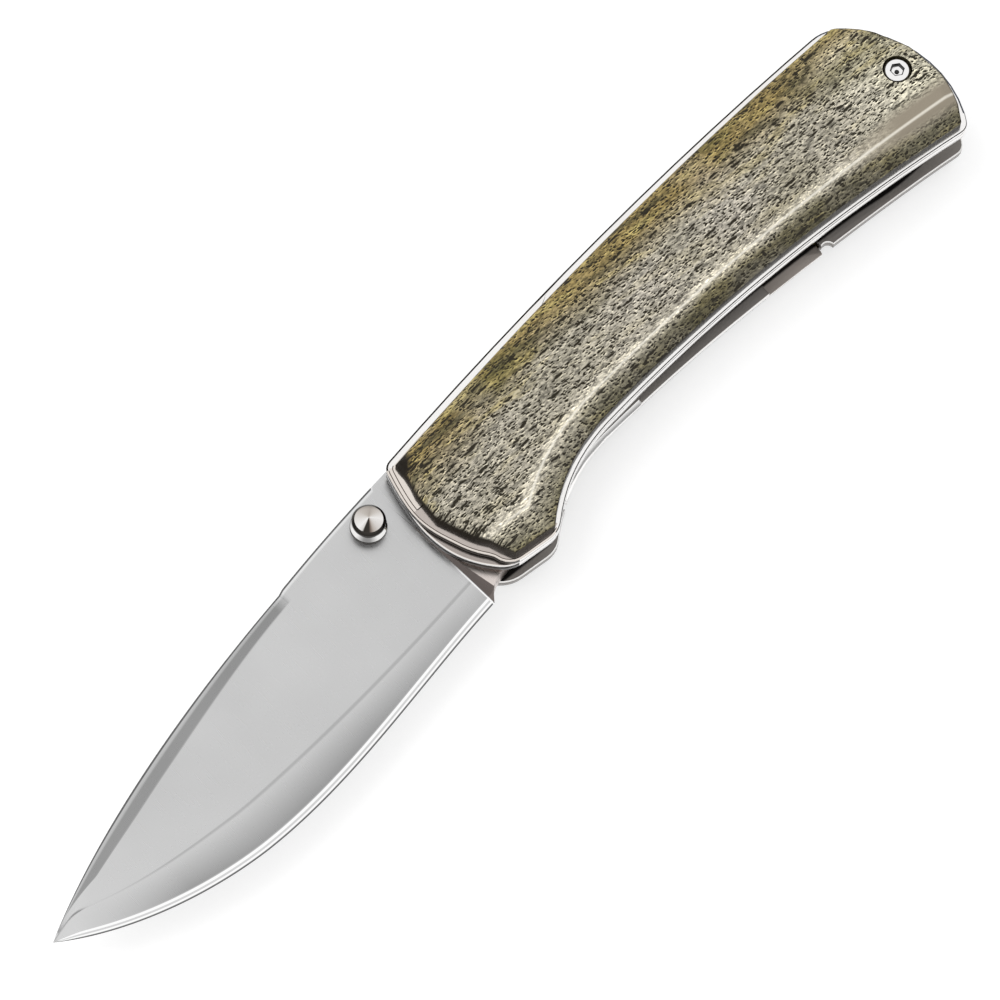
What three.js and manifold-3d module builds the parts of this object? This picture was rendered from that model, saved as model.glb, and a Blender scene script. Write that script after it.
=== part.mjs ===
// A folding pocket knife with a liner lock, lying open on its far side.
// Millimetres. The pivot axis is +Z through the origin, z = 0 is the flat face
// of the far handle scale, the blade points to -X and its spine faces +Y.

import * as THREE from 'three';
import { mergeVertices } from 'three/addons/utils/BufferGeometryUtils.js';
import Module from 'manifold-3d';

const wasm = await Module();
wasm.setup();

// Thicknesses of the sandwich, from the far side to the near side.
const scaleThickness = 3.4;
const frameThickness = 1.5;
const linerThickness = 1.1;
const bladeThickness = 3.8;
const washerThickness = 0.55;

// Running and seating clearances.
const faceGap = 0.01;
const boreGap = 0.12;
const cutGap = 0.3;

// Handle outline: the corners, and the points that bend the sides between them.
const frontSpineCorner = new THREE.Vector2(-10.9, 13.1);
const frontBottomCorner = new THREE.Vector2(-6.3, -13.4);
const bottomSlotCorner = new THREE.Vector2(3.2, -13.9);
const choilEnd = new THREE.Vector2(24, -4.15);
const buttSpineCorner = new THREE.Vector2(97.2, 26.35);
const buttSlotCorner = new THREE.Vector2(103.4, -2.9);
const frontBends = [new THREE.Vector2(-13, -7.6), new THREE.Vector2(-15.2, -0.8)];
const spineBends = [new THREE.Vector2(25, 20.04), new THREE.Vector2(62, 24.73)];
const choilBends = [new THREE.Vector2(9, -8.1), new THREE.Vector2(15.5, -5.1)];
const slotBends = [new THREE.Vector2(45, -1.35), new THREE.Vector2(72, 0.1)];
const buttRadius = 20.5;

// How far the round of each corner reaches back, named after the side that it ends.
const cornerRounds = { front: 1.4, spine: 2.6, butt: 1.5, slot: 2.2, bottom: 2.2 };

// The far frame stands out a little further along the slot.
const farSlotReach = 0.68;

// How far the other layers stand back from the frame's outline. The liner and the bone
// have a hollow at the front, below the middle.
const scaleInset = { front: 1.5, spine: 1.5, butt: 1.2, slot: 0.85, bottom: 0.9 };
const linerFrontHollow = 1.35;
const scaleFrontHollow = 1.7;
const scaleCornerHollow = 0.8;

// Form of the bone scales.
const slotEdgeHeight = 0.9;
const spineEdgeHeight = 0.9;
const frontEdgeHeight = 1.5;
const buttEdgeHeight = 2.5;
const ridgeHeight = 3.2;
const ridgeShare = 0.18;
const rollShare = 0.24;
const noseShare = 0.06;
const tailShare = 0.02;
const noseCornerDrop = 0.6;
const choilEdgeGain = 0.6;

// Pivot.
const barrelRadius = 3.0;
const pivotHeadRadius = 4.2;
const pivotHeadHeight = 0.95;
const pivotScrewRadius = 1.6;
const pivotSocketRadius = 1.3;
const washerRadius = 5.2;

// Blade.
const closingAngle = THREE.MathUtils.degToRad(173.8);
const shoulderHeight = 10.6;
const tangRadius = 7.0;
const lockFaceX = 5.5;
const stopPinRadius = 1.6;
const tangPinGap = 0.4;
const stopPinDistance = tangRadius + stopPinRadius + tangPinGap;
const stopPinAngle = THREE.MathUtils.degToRad(87.5);
const shoulderGap = 0.06;
const spineFrontHeight = 14.5;
const spineBackBend = new THREE.Vector2(-19, 12.35);
const swedgeStart = new THREE.Vector2(-36.5, 8.35);
const spineFrontBends = [new THREE.Vector2(-54.3, 4.8), new THREE.Vector2(-82.5, -2.3)];
const tip = new THREE.Vector2(-102.3, -13.7);
const heel = new THREE.Vector2(-11.4, -14.95);
const edgeBackBends = [new THREE.Vector2(-30, -18), new THREE.Vector2(-48, -23.85)];
const belly = new THREE.Vector2(-66.5, -23.8);
const edgeFrontBends = [new THREE.Vector2(-79.9, -23.6), new THREE.Vector2(-93.4, -19.7)];
const ricassoBends = [new THREE.Vector2(-5, -12.2), new THREE.Vector2(-9.4, -11)];
const swedgeWidth = 2.35;
const swedgeFrontWidth = 3.2;
const swedgeDepth = 0.95;
const swedgeRunOut = 0.9;
const plungeLean = 0.1;
const grindLineHalf = 0.8;
const edgeBevelHalf = 0.38;
const edgeBevelWidth = 1.3;
const grindHeelWidth = 4.9;
const grindMiddleGain = 2.8;
const grindTipLoss = 2.9;
const edgeHalf = 0.03;
const tipHalf = 0.45;

// Thumb studs.
const studPlace = new THREE.Vector2(-18.8, 7.65);
const studHeadRadius = 2.8;
const studFlangeRadius = 3.05;
const studHeight = 4.0;
const studPostRadius = 1.4;
const studThreadRadius = 0.8;

// Lock bar, cut from the far frame and bent inwards behind the tang.
const lockRootX = 72.5;
const lockTipGap = 0.12;
const lockTipTop = -0.9;
const lockTipBottom = -5.2;
const lockHeelPoint = new THREE.Vector2(9.2, -8.9);
const lockRootTop = 5.6;
const lockSeamBend = new THREE.Vector2(30, 5);
const lockBendAngle = THREE.MathUtils.degToRad(2.1);
const lockThinStart = 60.3;
const lockThinLeft = 0.75;
const lockNotchRadius = 1.15;
const lockNotchOffset = 1.0;
const detentPlace = new THREE.Vector2(9.8, -3.1);
const detentBallRadius = 1.0;
const detentRise = 0.85;
const detentHoleRadius = 0.85;
const detentHoleDepth = 0.6;
const thumbBevel = 0.75;
const thumbBevelEnd = 31.5;
const farOff = 25;

// Standoffs and screws.
const standoffs = {
  front: { x: 28, y: 16.65, radius: 1.3 },
  middle: { x: 62, y: 20.4, radius: 2.3 },
};
const buttScrewInset = 6.36;
const buttStandoffRadius = 2.4;
const waistShare = 0.88;
const smallScrewRadius = 0.75;
const smallHeadRadius = 1.25;
const smallHeadHeight = 0.6;
const smallScrewReach = 1.9;
const smallSocketRadius = 0.5;
const buttScrewRadius = 1.25;
const buttHeadRadius = 2.3;
const buttHeadHeight = 1.75;
const buttBoreRadius = 2.5;
const buttBoreFloor = 1.4;
const buttScrewReach = 2.0;
const socketRadius = 1.1;
const socketDepth = 0.8;
const scaleScrews = { front: { x: 12.5, y: 10.5 }, rear: { x: 82, y: 15 } };

// Heights of the layers.
const farScaleTop = scaleThickness;
const farFrameTop = farScaleTop + frameThickness;
const bladeBottom = farFrameTop + washerThickness;
const bladeTop = bladeBottom + bladeThickness;
const nearFrameBottom = bladeTop + washerThickness;
const nearFrameTop = nearFrameBottom + frameThickness;
const nearLinerTop = nearFrameTop + linerThickness;
const bladeMiddle = (bladeBottom + bladeTop) / 2;

// Solid helpers: a closed geometry becomes a solid for joins and cuts.
function solid(geometry) {
  const bare = geometry.clone();
  bare.deleteAttribute('normal');
  bare.deleteAttribute('uv');
  const merged = mergeVertices(bare, 1e-4);
  const index = merged.index.array;
  const faces = [];
  for (let i = 0; i < index.length; i += 3) {
    const [a, b, c] = [index[i], index[i + 1], index[i + 2]];
    if (a !== b && b !== c && c !== a) faces.push(a, b, c);
  }
  return new wasm.Manifold(new wasm.Mesh({
    numProp: 3,
    vertProperties: new Float32Array(merged.attributes.position.array),
    triVerts: new Uint32Array(faces),
  }));
}

function geometryOf(body) {
  const mesh = body.getMesh();
  const geometry = new THREE.BufferGeometry();
  geometry.setAttribute('position', new THREE.BufferAttribute(mesh.vertProperties, 3));
  geometry.setIndex(new THREE.BufferAttribute(mesh.triVerts, 1));
  return geometry;
}

function cut(body, ...tools) {
  return tools.reduce((rest, tool) => rest.subtract(tool), body);
}

// A prism between two heights over a flat outline.
function slab(points, low, high) {
  const shape = new THREE.Shape(points);
  const geometry = new THREE.ExtrudeGeometry(shape, { depth: high - low, bevelEnabled: false });
  geometry.translate(0, 0, low);
  return solid(geometry);
}

function disc(x, y, radius, low, high, sides = 32) {
  const geometry = new THREE.CylinderGeometry(radius, radius, high - low, sides);
  geometry.rotateX(Math.PI / 2);
  geometry.translate(x, y, (low + high) / 2);
  return solid(geometry);
}

function block(x0, y0, z0, x1, y1, z1) {
  const geometry = new THREE.BoxGeometry(x1 - x0, y1 - y0, z1 - z0);
  geometry.translate((x0 + x1) / 2, (y0 + y1) / 2, (z0 + z1) / 2);
  return solid(geometry);
}

// A turned piece from [radius, height] pairs, standing on the +Z axis.
function turned(x, y, z, profile, sides = 32) {
  const points = profile.map(([radius, height]) => new THREE.Vector2(radius, height));
  const geometry = new THREE.LatheGeometry(points, sides);
  geometry.rotateX(Math.PI / 2);
  geometry.translate(x, y, z);
  return solid(geometry);
}

// The same turned piece hanging down from z.
function turnedDown(x, y, z, profile, sides = 32) {
  const flipped = profile.map(([radius, height]) => [radius, -height]).reverse();
  return turned(x, y, z, flipped, sides);
}

// Curve helpers.
const { smoothstep, lerp, clamp } = THREE.MathUtils;
const at = (x, y) => new THREE.Vector2(x, y);
const longSteps = 24;
const middleSteps = 20;
const shortSteps = 12;

function along(curve, steps) {
  return curve.getPoints(steps).map((point) => new THREE.Vector2(point.x, point.y));
}

function bezier(a, b, c, d, steps) {
  return along(new THREE.CubicBezierCurve(a, b, c, d), steps);
}

// Moves each point of an open line sideways, by a distance that may vary along it.
function shifted(line, inset) {
  return line.map((point, i) => {
    const before = line[Math.max(i - 1, 0)];
    const after = line[Math.min(i + 1, line.length - 1)];
    const normal = new THREE.Vector2(after.y - before.y, before.x - after.x).normalize();
    return point.clone().addScaledVector(normal, inset(i / (line.length - 1)));
  });
}

function lengthen(line, reach) {
  const first = line[0].clone().sub(line[1]).setLength(reach).add(line[0]);
  const last = line.at(-1).clone().sub(line.at(-2)).setLength(reach).add(line.at(-1));
  return [first, ...line, last];
}

// Where two lines cross: the place, and the segment of each line.
function crossing(one, two) {
  for (let i = one.length - 2; i >= 0; i -= 1) {
    for (let j = 0; j < two.length - 1; j += 1) {
      const r = one[i + 1].clone().sub(one[i]);
      const s = two[j + 1].clone().sub(two[j]);
      const gap = two[j].clone().sub(one[i]);
      const turn = r.cross(s);
      const t = gap.cross(s) / turn;
      const w = gap.cross(r) / turn;
      if (t >= 0 && t <= 1 && w >= 0 && w <= 1) {
        return { point: one[i].clone().addScaledVector(r, t), i, j };
      }
    }
  }
  throw new Error('two sides of the outline do not meet');
}

// The centre of a round side that runs through two corners, and the way it bulges.
function roundThrough(one, two, radius) {
  const half = one.distanceTo(two) / 2;
  const across = one.clone().sub(two).normalize();
  const outward = at(across.y, -across.x);
  const centre = one.clone().add(two).multiplyScalar(0.5)
    .addScaledVector(outward, -Math.sqrt(radius ** 2 - half ** 2));
  return { centre, outward };
}

// The butt is an arc, and its screw sits on the middle of that arc.
const butt = roundThrough(buttSpineCorner, buttSlotCorner, buttRadius);
const buttScrewPlace = butt.centre.clone().addScaledVector(butt.outward, buttRadius - buttScrewInset);
const buttStandoff = { x: buttScrewPlace.x, y: buttScrewPlace.y, radius: buttStandoffRadius };

// The five sides of the frame, clockwise from the front bottom corner.
function frameSides() {
  const { centre } = butt;
  const from = buttSpineCorner.clone().sub(centre).angle();
  const to = buttSlotCorner.clone().sub(centre).angle();
  const buttArc = new THREE.ArcCurve(centre.x, centre.y, buttRadius, from, to, true);
  const choil = bezier(bottomSlotCorner, ...choilBends, choilEnd, shortSteps);
  const run = bezier(choilEnd, ...slotBends, buttSlotCorner, middleSteps);
  return {
    front: bezier(frontBottomCorner, ...frontBends, frontSpineCorner, longSteps),
    spine: bezier(frontSpineCorner, ...spineBends, buttSpineCorner, longSteps),
    butt: along(buttArc, shortSteps),
    slot: [...run.reverse(), ...choil.reverse().slice(1)],
    bottom: [bottomSlotCorner, frontBottomCorner],
  };
}

// The sides set inwards, each trimmed where it meets the next.
function insetSides(insets) {
  const names = ['front', 'spine', 'butt', 'slot', 'bottom'];
  const sides = frameSides();
  const reach = 4;
  const moved = names.map((name) => {
    const line = sides[name];
    if (!insets[name]) return line;
    return lengthen(shifted(line, insets[name]), reach);
  });
  const starts = [];
  const ends = [];
  names.forEach((name, k) => {
    const next = (k + 1) % names.length;
    if (!insets[name] && !insets[names[next]]) {
      ends[k] = null;
      starts[next] = null;
      return;
    }
    const one = insets[name] ? moved[k] : lengthen(moved[k], reach);
    const two = insets[names[next]] ? moved[next] : lengthen(moved[next], reach);
    const meet = crossing(one, two);
    ends[k] = { index: insets[name] ? meet.i : meet.i - 1, point: meet.point };
    starts[next] = { index: insets[names[next]] ? meet.j : meet.j - 1, point: meet.point };
  });
  const result = {};
  names.forEach((name, k) => {
    const line = moved[k];
    const first = starts[k] ? Math.max(starts[k].index + 1, 0) : 0;
    const last = ends[k] ? Math.min(ends[k].index + 1, line.length) : line.length;
    const inner = line.slice(first, last);
    if (starts[k]) inner.unshift(starts[k].point);
    if (ends[k]) inner.push(ends[k].point);
    result[name] = inner;
  });
  return result;
}

// Cuts the end of a line back by a distance, for the round of a corner.
function shortened(line, reach) {
  const kept = [...line];
  let left = reach;
  while (kept.length > 2 && kept.at(-1).distanceTo(kept.at(-2)) < left) {
    left -= kept.at(-1).distanceTo(kept.at(-2));
    kept.pop();
  }
  const step = kept.at(-2).clone().sub(kept.at(-1));
  const end = kept.pop().clone().addScaledVector(step, left / step.length());
  return [...kept, end];
}

// One closed outline from the sides, with every corner rounded.
function outlineOf(sides) {
  const order = ['front', 'spine', 'butt', 'slot', 'bottom'];
  const points = [];
  const lines = order.map((name) => sides[name]);
  order.forEach((name, k) => {
    const previous = order[(k + order.length - 1) % order.length];
    const next = lines[(k + 1) % order.length];
    const started = shortened([...lines[k]].reverse(), cornerRounds[previous]).reverse();
    const trimmed = shortened(started, cornerRounds[name]);
    const follow = shortened([...next].reverse(), cornerRounds[name]).at(-1);
    const corner = next[0];
    points.push(...trimmed);
    const round = new THREE.QuadraticBezierCurve(trimmed.at(-1), corner, follow);
    points.push(...along(round, 5).slice(1, -1));
  });
  return points;
}

// How deep the hollow of the front is, from its bottom corner (0) to its spine corner (1).
const frontHollow = (share) => smoothstep(share, 0, 0.16) * (1 - smoothstep(share, 0.4, 0.8));
const cornerHollow = (share) => smoothstep(share, 0.7, 0.86) * (1 - smoothstep(share, 0.9, 1));
const frameOutline = outlineOf(frameSides());
const linerOutline = outlineOf(insetSides({
  front: (share) => linerFrontHollow * frontHollow(share),
}));
const farSides = insetSides({
  slot: (share) => -farSlotReach * smoothstep(0.74 - share, 0, 0.5) * smoothstep(share, -0.1, 0.2),
});
const farOutline = outlineOf(farSides);

// Frames and liner: flat plates with the holes that the fasteners need.
function makeNearFrame() {
  const holes = [
    disc(0, 0, barrelRadius + boreGap, nearFrameBottom - 1, nearFrameTop + 1),
    disc(stopPin.x, stopPin.y, stopPinRadius + boreGap, nearFrameBottom - 1, nearFrameTop + 1),
    disc(buttStandoff.x, buttStandoff.y, buttScrewRadius + boreGap, nearFrameBottom - 1,
      nearFrameTop + 1),
  ];
  for (const { x, y } of Object.values(standoffs)) {
    holes.push(disc(x, y, smallScrewRadius + boreGap, nearFrameBottom - 1, nearFrameTop + 1));
  }
  for (const { x, y } of Object.values(scaleScrews)) {
    holes.push(disc(x, y, smallScrewRadius + boreGap, nearFrameBottom - 1, nearFrameTop + 1));
    holes.push(sunkHead(x, y, nearFrameBottom, 1, boreGap));
  }
  return cut(slab(frameOutline, nearFrameBottom, nearFrameTop), ...holes);
}

function makeNearLiner() {
  const holes = [
    disc(0, 0, pivotHeadRadius + cutGap, nearFrameTop - 1, nearLinerTop + 1),
    disc(buttStandoff.x, buttStandoff.y, buttScrewRadius + boreGap, nearFrameTop - 1,
      nearLinerTop + 1),
  ];
  for (const { x, y } of Object.values(standoffs)) {
    holes.push(disc(x, y, smallScrewRadius + boreGap, nearFrameTop - 1, nearLinerTop + 1));
    holes.push(sunkHead(x, y, nearLinerTop, -1, boreGap));
  }
  for (const { x, y } of Object.values(scaleScrews)) {
    holes.push(disc(x, y, smallScrewRadius + boreGap, nearFrameTop - 1, nearLinerTop + 1));
  }
  return cut(slab(linerOutline, nearFrameTop, nearLinerTop), ...holes);
}

// A countersunk head whose flat lies at z and which narrows towards the given side.
function sunkHead(x, y, z, towards, extra = 0) {
  const wide = smallHeadRadius + extra;
  const narrow = smallScrewRadius + extra;
  const deep = smallHeadHeight + extra;
  const outer = extra > 0 ? 1 : 0;
  const profile = [[0, deep], [narrow, deep], [wide, 0], [wide, -outer], [0, -outer]];
  const kept = outer ? profile : [[0, deep], [narrow, deep], [wide, 0], [0, 0]];
  return towards > 0 ? turned(x, y, z, kept.reverse()) : turnedDown(x, y, z, kept.reverse());
}

// The lock bar seen from above, and the gap that parts it from the far frame.
function lockBarOutline(grow) {
  const tipX = lockFaceX + lockTipGap - grow;
  const seam = new THREE.QuadraticBezierCurve(
    at(tipX, lockTipTop + grow),
    at(lockSeamBend.x, lockSeamBend.y + grow),
    at(lockRootX, lockRootTop + grow),
  );
  const below = -farOff;
  return [
    at(tipX, lockTipBottom - grow),
    ...along(seam, 14),
    at(lockRootX + grow, lockRootTop + grow),
    at(lockRootX + grow, below),
    at(lockHeelPoint.x + 10, below),
    at(lockHeelPoint.x - grow, lockHeelPoint.y - grow),
  ];
}

function makeFarFrame() {
  const holes = [
    disc(0, 0, barrelRadius + boreGap, farScaleTop - 1, farFrameTop + 1),
    disc(stopPin.x, stopPin.y, stopPinRadius + boreGap, farScaleTop - 1, farFrameTop + 1),
    disc(buttStandoff.x, buttStandoff.y, buttScrewRadius + boreGap, farScaleTop - 1,
      farFrameTop + 1),
    slab(lockBarOutline(cutGap), farScaleTop - 1, farFrameTop + 1),
    disc(lockRootX + cutGap, lockRootTop - 0.2, 1.3, farScaleTop - 1, farFrameTop + 1, 20),
    lockNotch(),
  ];
  for (const { x, y } of Object.values(standoffs)) {
    holes.push(disc(x, y, smallScrewRadius + boreGap, farScaleTop - 1, farFrameTop + 1));
    holes.push(sunkHead(x, y, farScaleTop, 1, boreGap));
  }
  for (const { x, y } of Object.values(scaleScrews)) {
    holes.push(disc(x, y, smallScrewRadius + boreGap, farScaleTop - 1, farFrameTop + 1));
    holes.push(sunkHead(x, y, farFrameTop, -1, boreGap));
  }
  return cut(slab(farOutline, farScaleTop, farFrameTop), ...holes);
}

// Height of the slot side of the frame at a place along the handle.
function heightOn(line, x) {
  for (let i = 0; i < line.length - 1; i += 1) {
    const [a, b] = [line[i], line[i + 1]];
    if ((a.x - x) * (b.x - x) <= 0 && a.x !== b.x) {
      return a.y + ((b.y - a.y) * (x - a.x)) / (b.x - a.x);
    }
  }
  return x > line[0].x ? line[0].y : line.at(-1).y;
}

// The round relief in the slot side, at the root of the lock bar.
function lockNotch() {
  const x = lockRootX + lockNotchOffset;
  const y = heightOn(farSides.slot, x);
  return disc(x, y, lockNotchRadius, farScaleTop - 1, farFrameTop + 1, 24);
}

// The bar: a leaf that is milled thin at its root, bevelled for the thumb near its
// tip, and bent inwards so that its end stands behind the tang.
function makeLockBar() {
  const flat = slab(lockBarOutline(0), farScaleTop, farFrameTop)
    .intersect(slab(farOutline, farScaleTop - 1, farFrameTop + 1));
  const thin = block(lockThinStart, -farOff, farScaleTop + lockThinLeft, lockRootX + 1, farOff,
    farFrameTop + 1);
  const bevelled = cut(flat, thin, lockNotch(), thumbBevelCut());
  return bent(bevelled);
}

function thumbBevelCut() {
  const edge = farSides.slot.filter((p) => p.x < thumbBevelEnd && p.x > 5);
  const positions = [];
  const section = (point) => [
    [point.x, point.y - 2, farFrameTop + 1], [point.x, point.y - 2, farFrameTop - thumbBevel - 2],
    [point.x, point.y + thumbBevel + 1, farFrameTop + 1],
  ];
  const rings = edge.map(section);
  const faces = [];
  rings.forEach((ring) => ring.forEach((p) => positions.push(...p)));
  const last = rings.length - 1;
  for (let i = 0; i < last; i += 1) {
    for (let k = 0; k < 3; k += 1) {
      const [a, b] = [i * 3 + k, i * 3 + ((k + 1) % 3)];
      faces.push(a, b, a + 3, b, b + 3, a + 3);
    }
  }
  faces.push(0, 2, 1, last * 3, last * 3 + 1, last * 3 + 2);
  return closedMesh(positions, faces);
}

function bent(body) {
  const geometry = geometryOf(body);
  const rootZ = farScaleTop + lockThinLeft / 2;
  geometry.translate(-lockRootX, 0, -rootZ);
  geometry.rotateY(lockBendAngle);
  geometry.translate(lockRootX, 0, rootZ);
  return solid(geometry);
}

// A solid from loose lists, turned right side out if its faces point inwards.
function closedMesh(positions, faces) {
  const geometry = new THREE.BufferGeometry();
  geometry.setAttribute('position', new THREE.Float32BufferAttribute(positions, 3));
  geometry.setIndex(faces);
  const volume = signedVolume(positions, faces);
  if (volume < 0) {
    const turnedFaces = [];
    for (let i = 0; i < faces.length; i += 3) turnedFaces.push(faces[i], faces[i + 2], faces[i + 1]);
    geometry.setIndex(turnedFaces);
  }
  return solid(geometry);
}

function signedVolume(positions, faces) {
  const corner = (k) => new THREE.Vector3().fromArray(positions, faces[k] * 3);
  let total = 0;
  for (let i = 0; i < faces.length; i += 3) {
    total += corner(i).dot(corner(i + 1).cross(corner(i + 2)));
  }
  return total / 6;
}

function detentSphere(extra) {
  const geometry = new THREE.SphereGeometry(detentBallRadius + extra, 20, 12);
  geometry.rotateX(Math.PI / 2);
  geometry.translate(detentPlace.x, detentPlace.y, farFrameTop + detentRise - detentBallRadius);
  return bent(solid(geometry));
}

// Stop pin, at the spine side of the pivot.
const stopPin = at(stopPinDistance, 0).rotateAround(at(0, 0), stopPinAngle);

// Blade. Its lines run from the tang to the tip.
const spineFront = at(stopPin.x - stopPinRadius - shoulderGap, spineFrontHeight);

function bladeSpine() {
  const curve = new THREE.QuadraticBezierCurve(spineFront, spineBackBend, swedgeStart);
  const back = along(curve, shortSteps);
  const front = bezier(swedgeStart, ...spineFrontBends, tip, longSteps);
  return [...back, ...front.slice(1)];
}

// The lower line: the ricasso from the shoulder to the heel, then the edge.
function bladeBelow() {
  const closedPin = stopPin.clone().rotateAround(at(0, 0), -closingAngle);
  const shoulder = at(closedPin.x - stopPinRadius - shoulderGap, -shoulderHeight);
  const ricasso = bezier(shoulder, ...ricassoBends, heel, shortSteps);
  const back = bezier(heel, ...edgeBackBends, belly, middleSteps);
  const front = bezier(belly, ...edgeFrontBends, tip, middleSteps);
  return [...ricasso, ...back.slice(1), ...front.slice(1)];
}

// A line that crosses the blade: it leans towards the tip as it rises from the heel.
function crossX(base, lean, y) {
  return base - lean * (y - heel.y);
}

// Where such a line meets an outline.
function crossPoint(line, base, lean) {
  let y = 0;
  for (let i = 0; i < 12; i += 1) y = heightOn(line, crossX(base, lean, y));
  return at(crossX(base, lean, y), y);
}

// The tang is a flat plate round the pivot, with a shoulder for each end of the
// swing and a flat face behind which the lock bar snaps.
function tangOutline() {
  const spine = bladeSpine();
  const below = bladeBelow();
  const chamfer = 0.8;
  const arc = (from, to) => along(new THREE.ArcCurve(0, 0, tangRadius, from, to, true), 9);
  const lockAngle = Math.acos(lockFaceX / tangRadius);
  const top = crossPoint(spine, tangStart, plungeLean);
  const low = crossPoint(below, tangStart, plungeLean);
  const back = spine.filter((p) => p.x > top.x && p.x < spineFront.x - chamfer);
  const ricasso = below.filter((p) => p.x > low.x);
  return [
    top,
    ...back.reverse(),
    at(spineFront.x, spineFront.y - chamfer),
    ...arc(Math.acos(spineFront.x / tangRadius), lockAngle),
    ...arc(-lockAngle, -Math.acos(below[0].x / tangRadius)),
    ...ricasso,
    low,
  ];
}

// The foot of the plunge lies at the heel; its wall rises at 45 degrees towards the
// handle, so the tang has its full thickness one half thickness further on.
const plungeFoot = heel.x - 0.1;
const tangStart = plungeFoot + bladeThickness / 2 + 0.05;

// The ground part is lofted through sections that cross the blade. Each has the spine,
// the lower line of the swedge, three lines of the face, the grind line, the line of the
// edge bevel and the edge.
function makeGroundBlade() {
  const spine = bladeSpine();
  const below = bladeBelow();
  const reach = plungeFoot - tip.x;
  const half = bladeThickness / 2;
  const depths = groundHalves(0, 0).map((value) => half - value).filter((value) => value > 0.02);
  const bases = [tangStart + 1, ...depths.reverse().map((value) => plungeFoot + value), plungeFoot];
  const swedgeBase = crossX(swedgeStart.x, -leanAt(swedgeStart.x), swedgeStart.y);
  bases.push(plungeFoot - 1, swedgeBase, swedgeBase - swedgeRunOut);
  for (let i = 1; i <= 40; i += 1) bases.push(plungeFoot - (reach * 0.993 * i) / 40);
  bases.sort((a, b) => b - a);
  const rings = bases.filter((base, i) => i === 0 || bases[i - 1] - base > 0.03)
    .map((base) => bladeSection(base, spine, below, swedgeBase));
  return loft(rings, [tip.x, tip.y, bladeMiddle]);
}

// The sections lean at the plunge and stand upright further on.
function leanAt(base) {
  return plungeLean * (1 - smoothstep(plungeFoot - base, 0, 18));
}

// Half thicknesses on the lines of a section, from the spine to the edge.
function groundHalves(share, swedge) {
  const spineHalf = lerp(bladeThickness / 2, tipHalf, Math.max(0, (share - 0.45) / 0.55) ** 1.6);
  const thinner = spineHalf / (bladeThickness / 2);
  const grindHalf = grindLineHalf * thinner;
  const face = faceShares.map((down) => lerp(spineHalf, grindHalf, down ** 2.6));
  return [spineHalf - swedgeDepth * thinner * swedge, ...face, grindHalf,
    edgeBevelHalf * lerp(1, thinner, 0.5), edgeHalf];
}

// How far down the face its lines lie, from the swedge line (0) to the grind line (1).
const faceShares = [0, 0.4, 0.65, 0.84];

// Distance of the grind line from the edge.
function grindWidth(share) {
  return grindHeelWidth + grindMiddleGain * smoothstep(share, 0, 0.55)
    - grindTipLoss * smoothstep(share, 0.62, 1.05);
}

function bladeSection(base, spine, below, swedgeBase) {
  const share = Math.max(0, plungeFoot - base) / (plungeFoot - tip.x);
  const past = Math.max(0, base - plungeFoot);
  const lean = leanAt(base);
  const top = crossPoint(spine, base, lean).y;
  const low = crossPoint(below, base, lean).y;
  const foot = past > 0 ? crossPoint(below, plungeFoot, lean).y : low;
  const height = top - foot;
  const wide = lerp(swedgeWidth, swedgeFrontWidth, smoothstep(share, 0.3, 0.75));
  const swedgeY = top - Math.min(wide, 0.22 * height);
  const grindY = foot + Math.min(grindWidth(share), 0.74 * height);
  const bevelY = foot + Math.min(edgeBevelWidth, 0.26 * height);
  const face = faceShares.map((down) => lerp(swedgeY, grindY, down));
  const ys = [top, ...face, grindY, Math.max(bevelY, low + 0.1), low];
  const swedge = clamp((swedgeBase - base) / swedgeRunOut, 0, 1);
  const halves = groundHalves(share, swedge)
    .map((value) => Math.min(value + past, bladeThickness / 2));
  const near = ys.map((y, k) => [crossX(base, lean, y), y, bladeMiddle + halves[k]]);
  const far = ys.map((y, k) => [crossX(base, lean, y), y, bladeMiddle - halves[k]]).reverse();
  return [...near, ...far];
}

// Skins a row of rings that all have the same number of points, and closes the end
// of the row in one point.
function loft(rings, point) {
  const size = rings[0].length;
  const positions = rings.flat(2);
  const faces = [];
  for (let i = 0; i < rings.length - 1; i += 1) {
    for (let k = 0; k < size; k += 1) {
      const a = i * size + k;
      const b = i * size + ((k + 1) % size);
      faces.push(a, b, a + size, b, b + size, a + size);
    }
  }
  for (let k = 1; k < size / 2; k += 1) {
    const other = size - 1 - k;
    faces.push(k - 1, other + 1, k, k, other + 1, other);
  }
  const end = positions.length / 3;
  positions.push(...point);
  const base = (rings.length - 1) * size;
  for (let k = 0; k < size; k += 1) faces.push(base + k, base + ((k + 1) % size), end);
  return closedMesh(positions, faces);
}

function makeBlade() {
  const tang = slab(tangOutline(), bladeBottom, bladeTop);
  const closedDetent = detentPlace.clone().rotateAround(at(0, 0), -closingAngle);
  const holes = [
    disc(0, 0, barrelRadius + boreGap, bladeBottom - 1, bladeTop + 1, 40),
    disc(studPlace.x, studPlace.y, studPostRadius + boreGap, bladeBottom - 1, bladeTop + 1),
    disc(closedDetent.x, closedDetent.y, detentHoleRadius, bladeBottom - 1,
      bladeBottom + detentHoleDepth, 20),
  ];
  return cut(tang.add(makeGroundBlade()), ...holes);
}

// Thumb studs: one half carries the post, the other is screwed onto it.
function studHead(height) {
  return [[0, height], [studHeadRadius * 0.2, height - 0.05], [studHeadRadius - 0.35, height - 0.85],
    [studHeadRadius, height - 1.15], [studHeadRadius, height - 1.7],
    [studHeadRadius - 0.55, height - 2.1], [studHeadRadius - 0.55, 0.95], [studFlangeRadius, 0.55],
    [studFlangeRadius, faceGap]];
}

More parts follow.
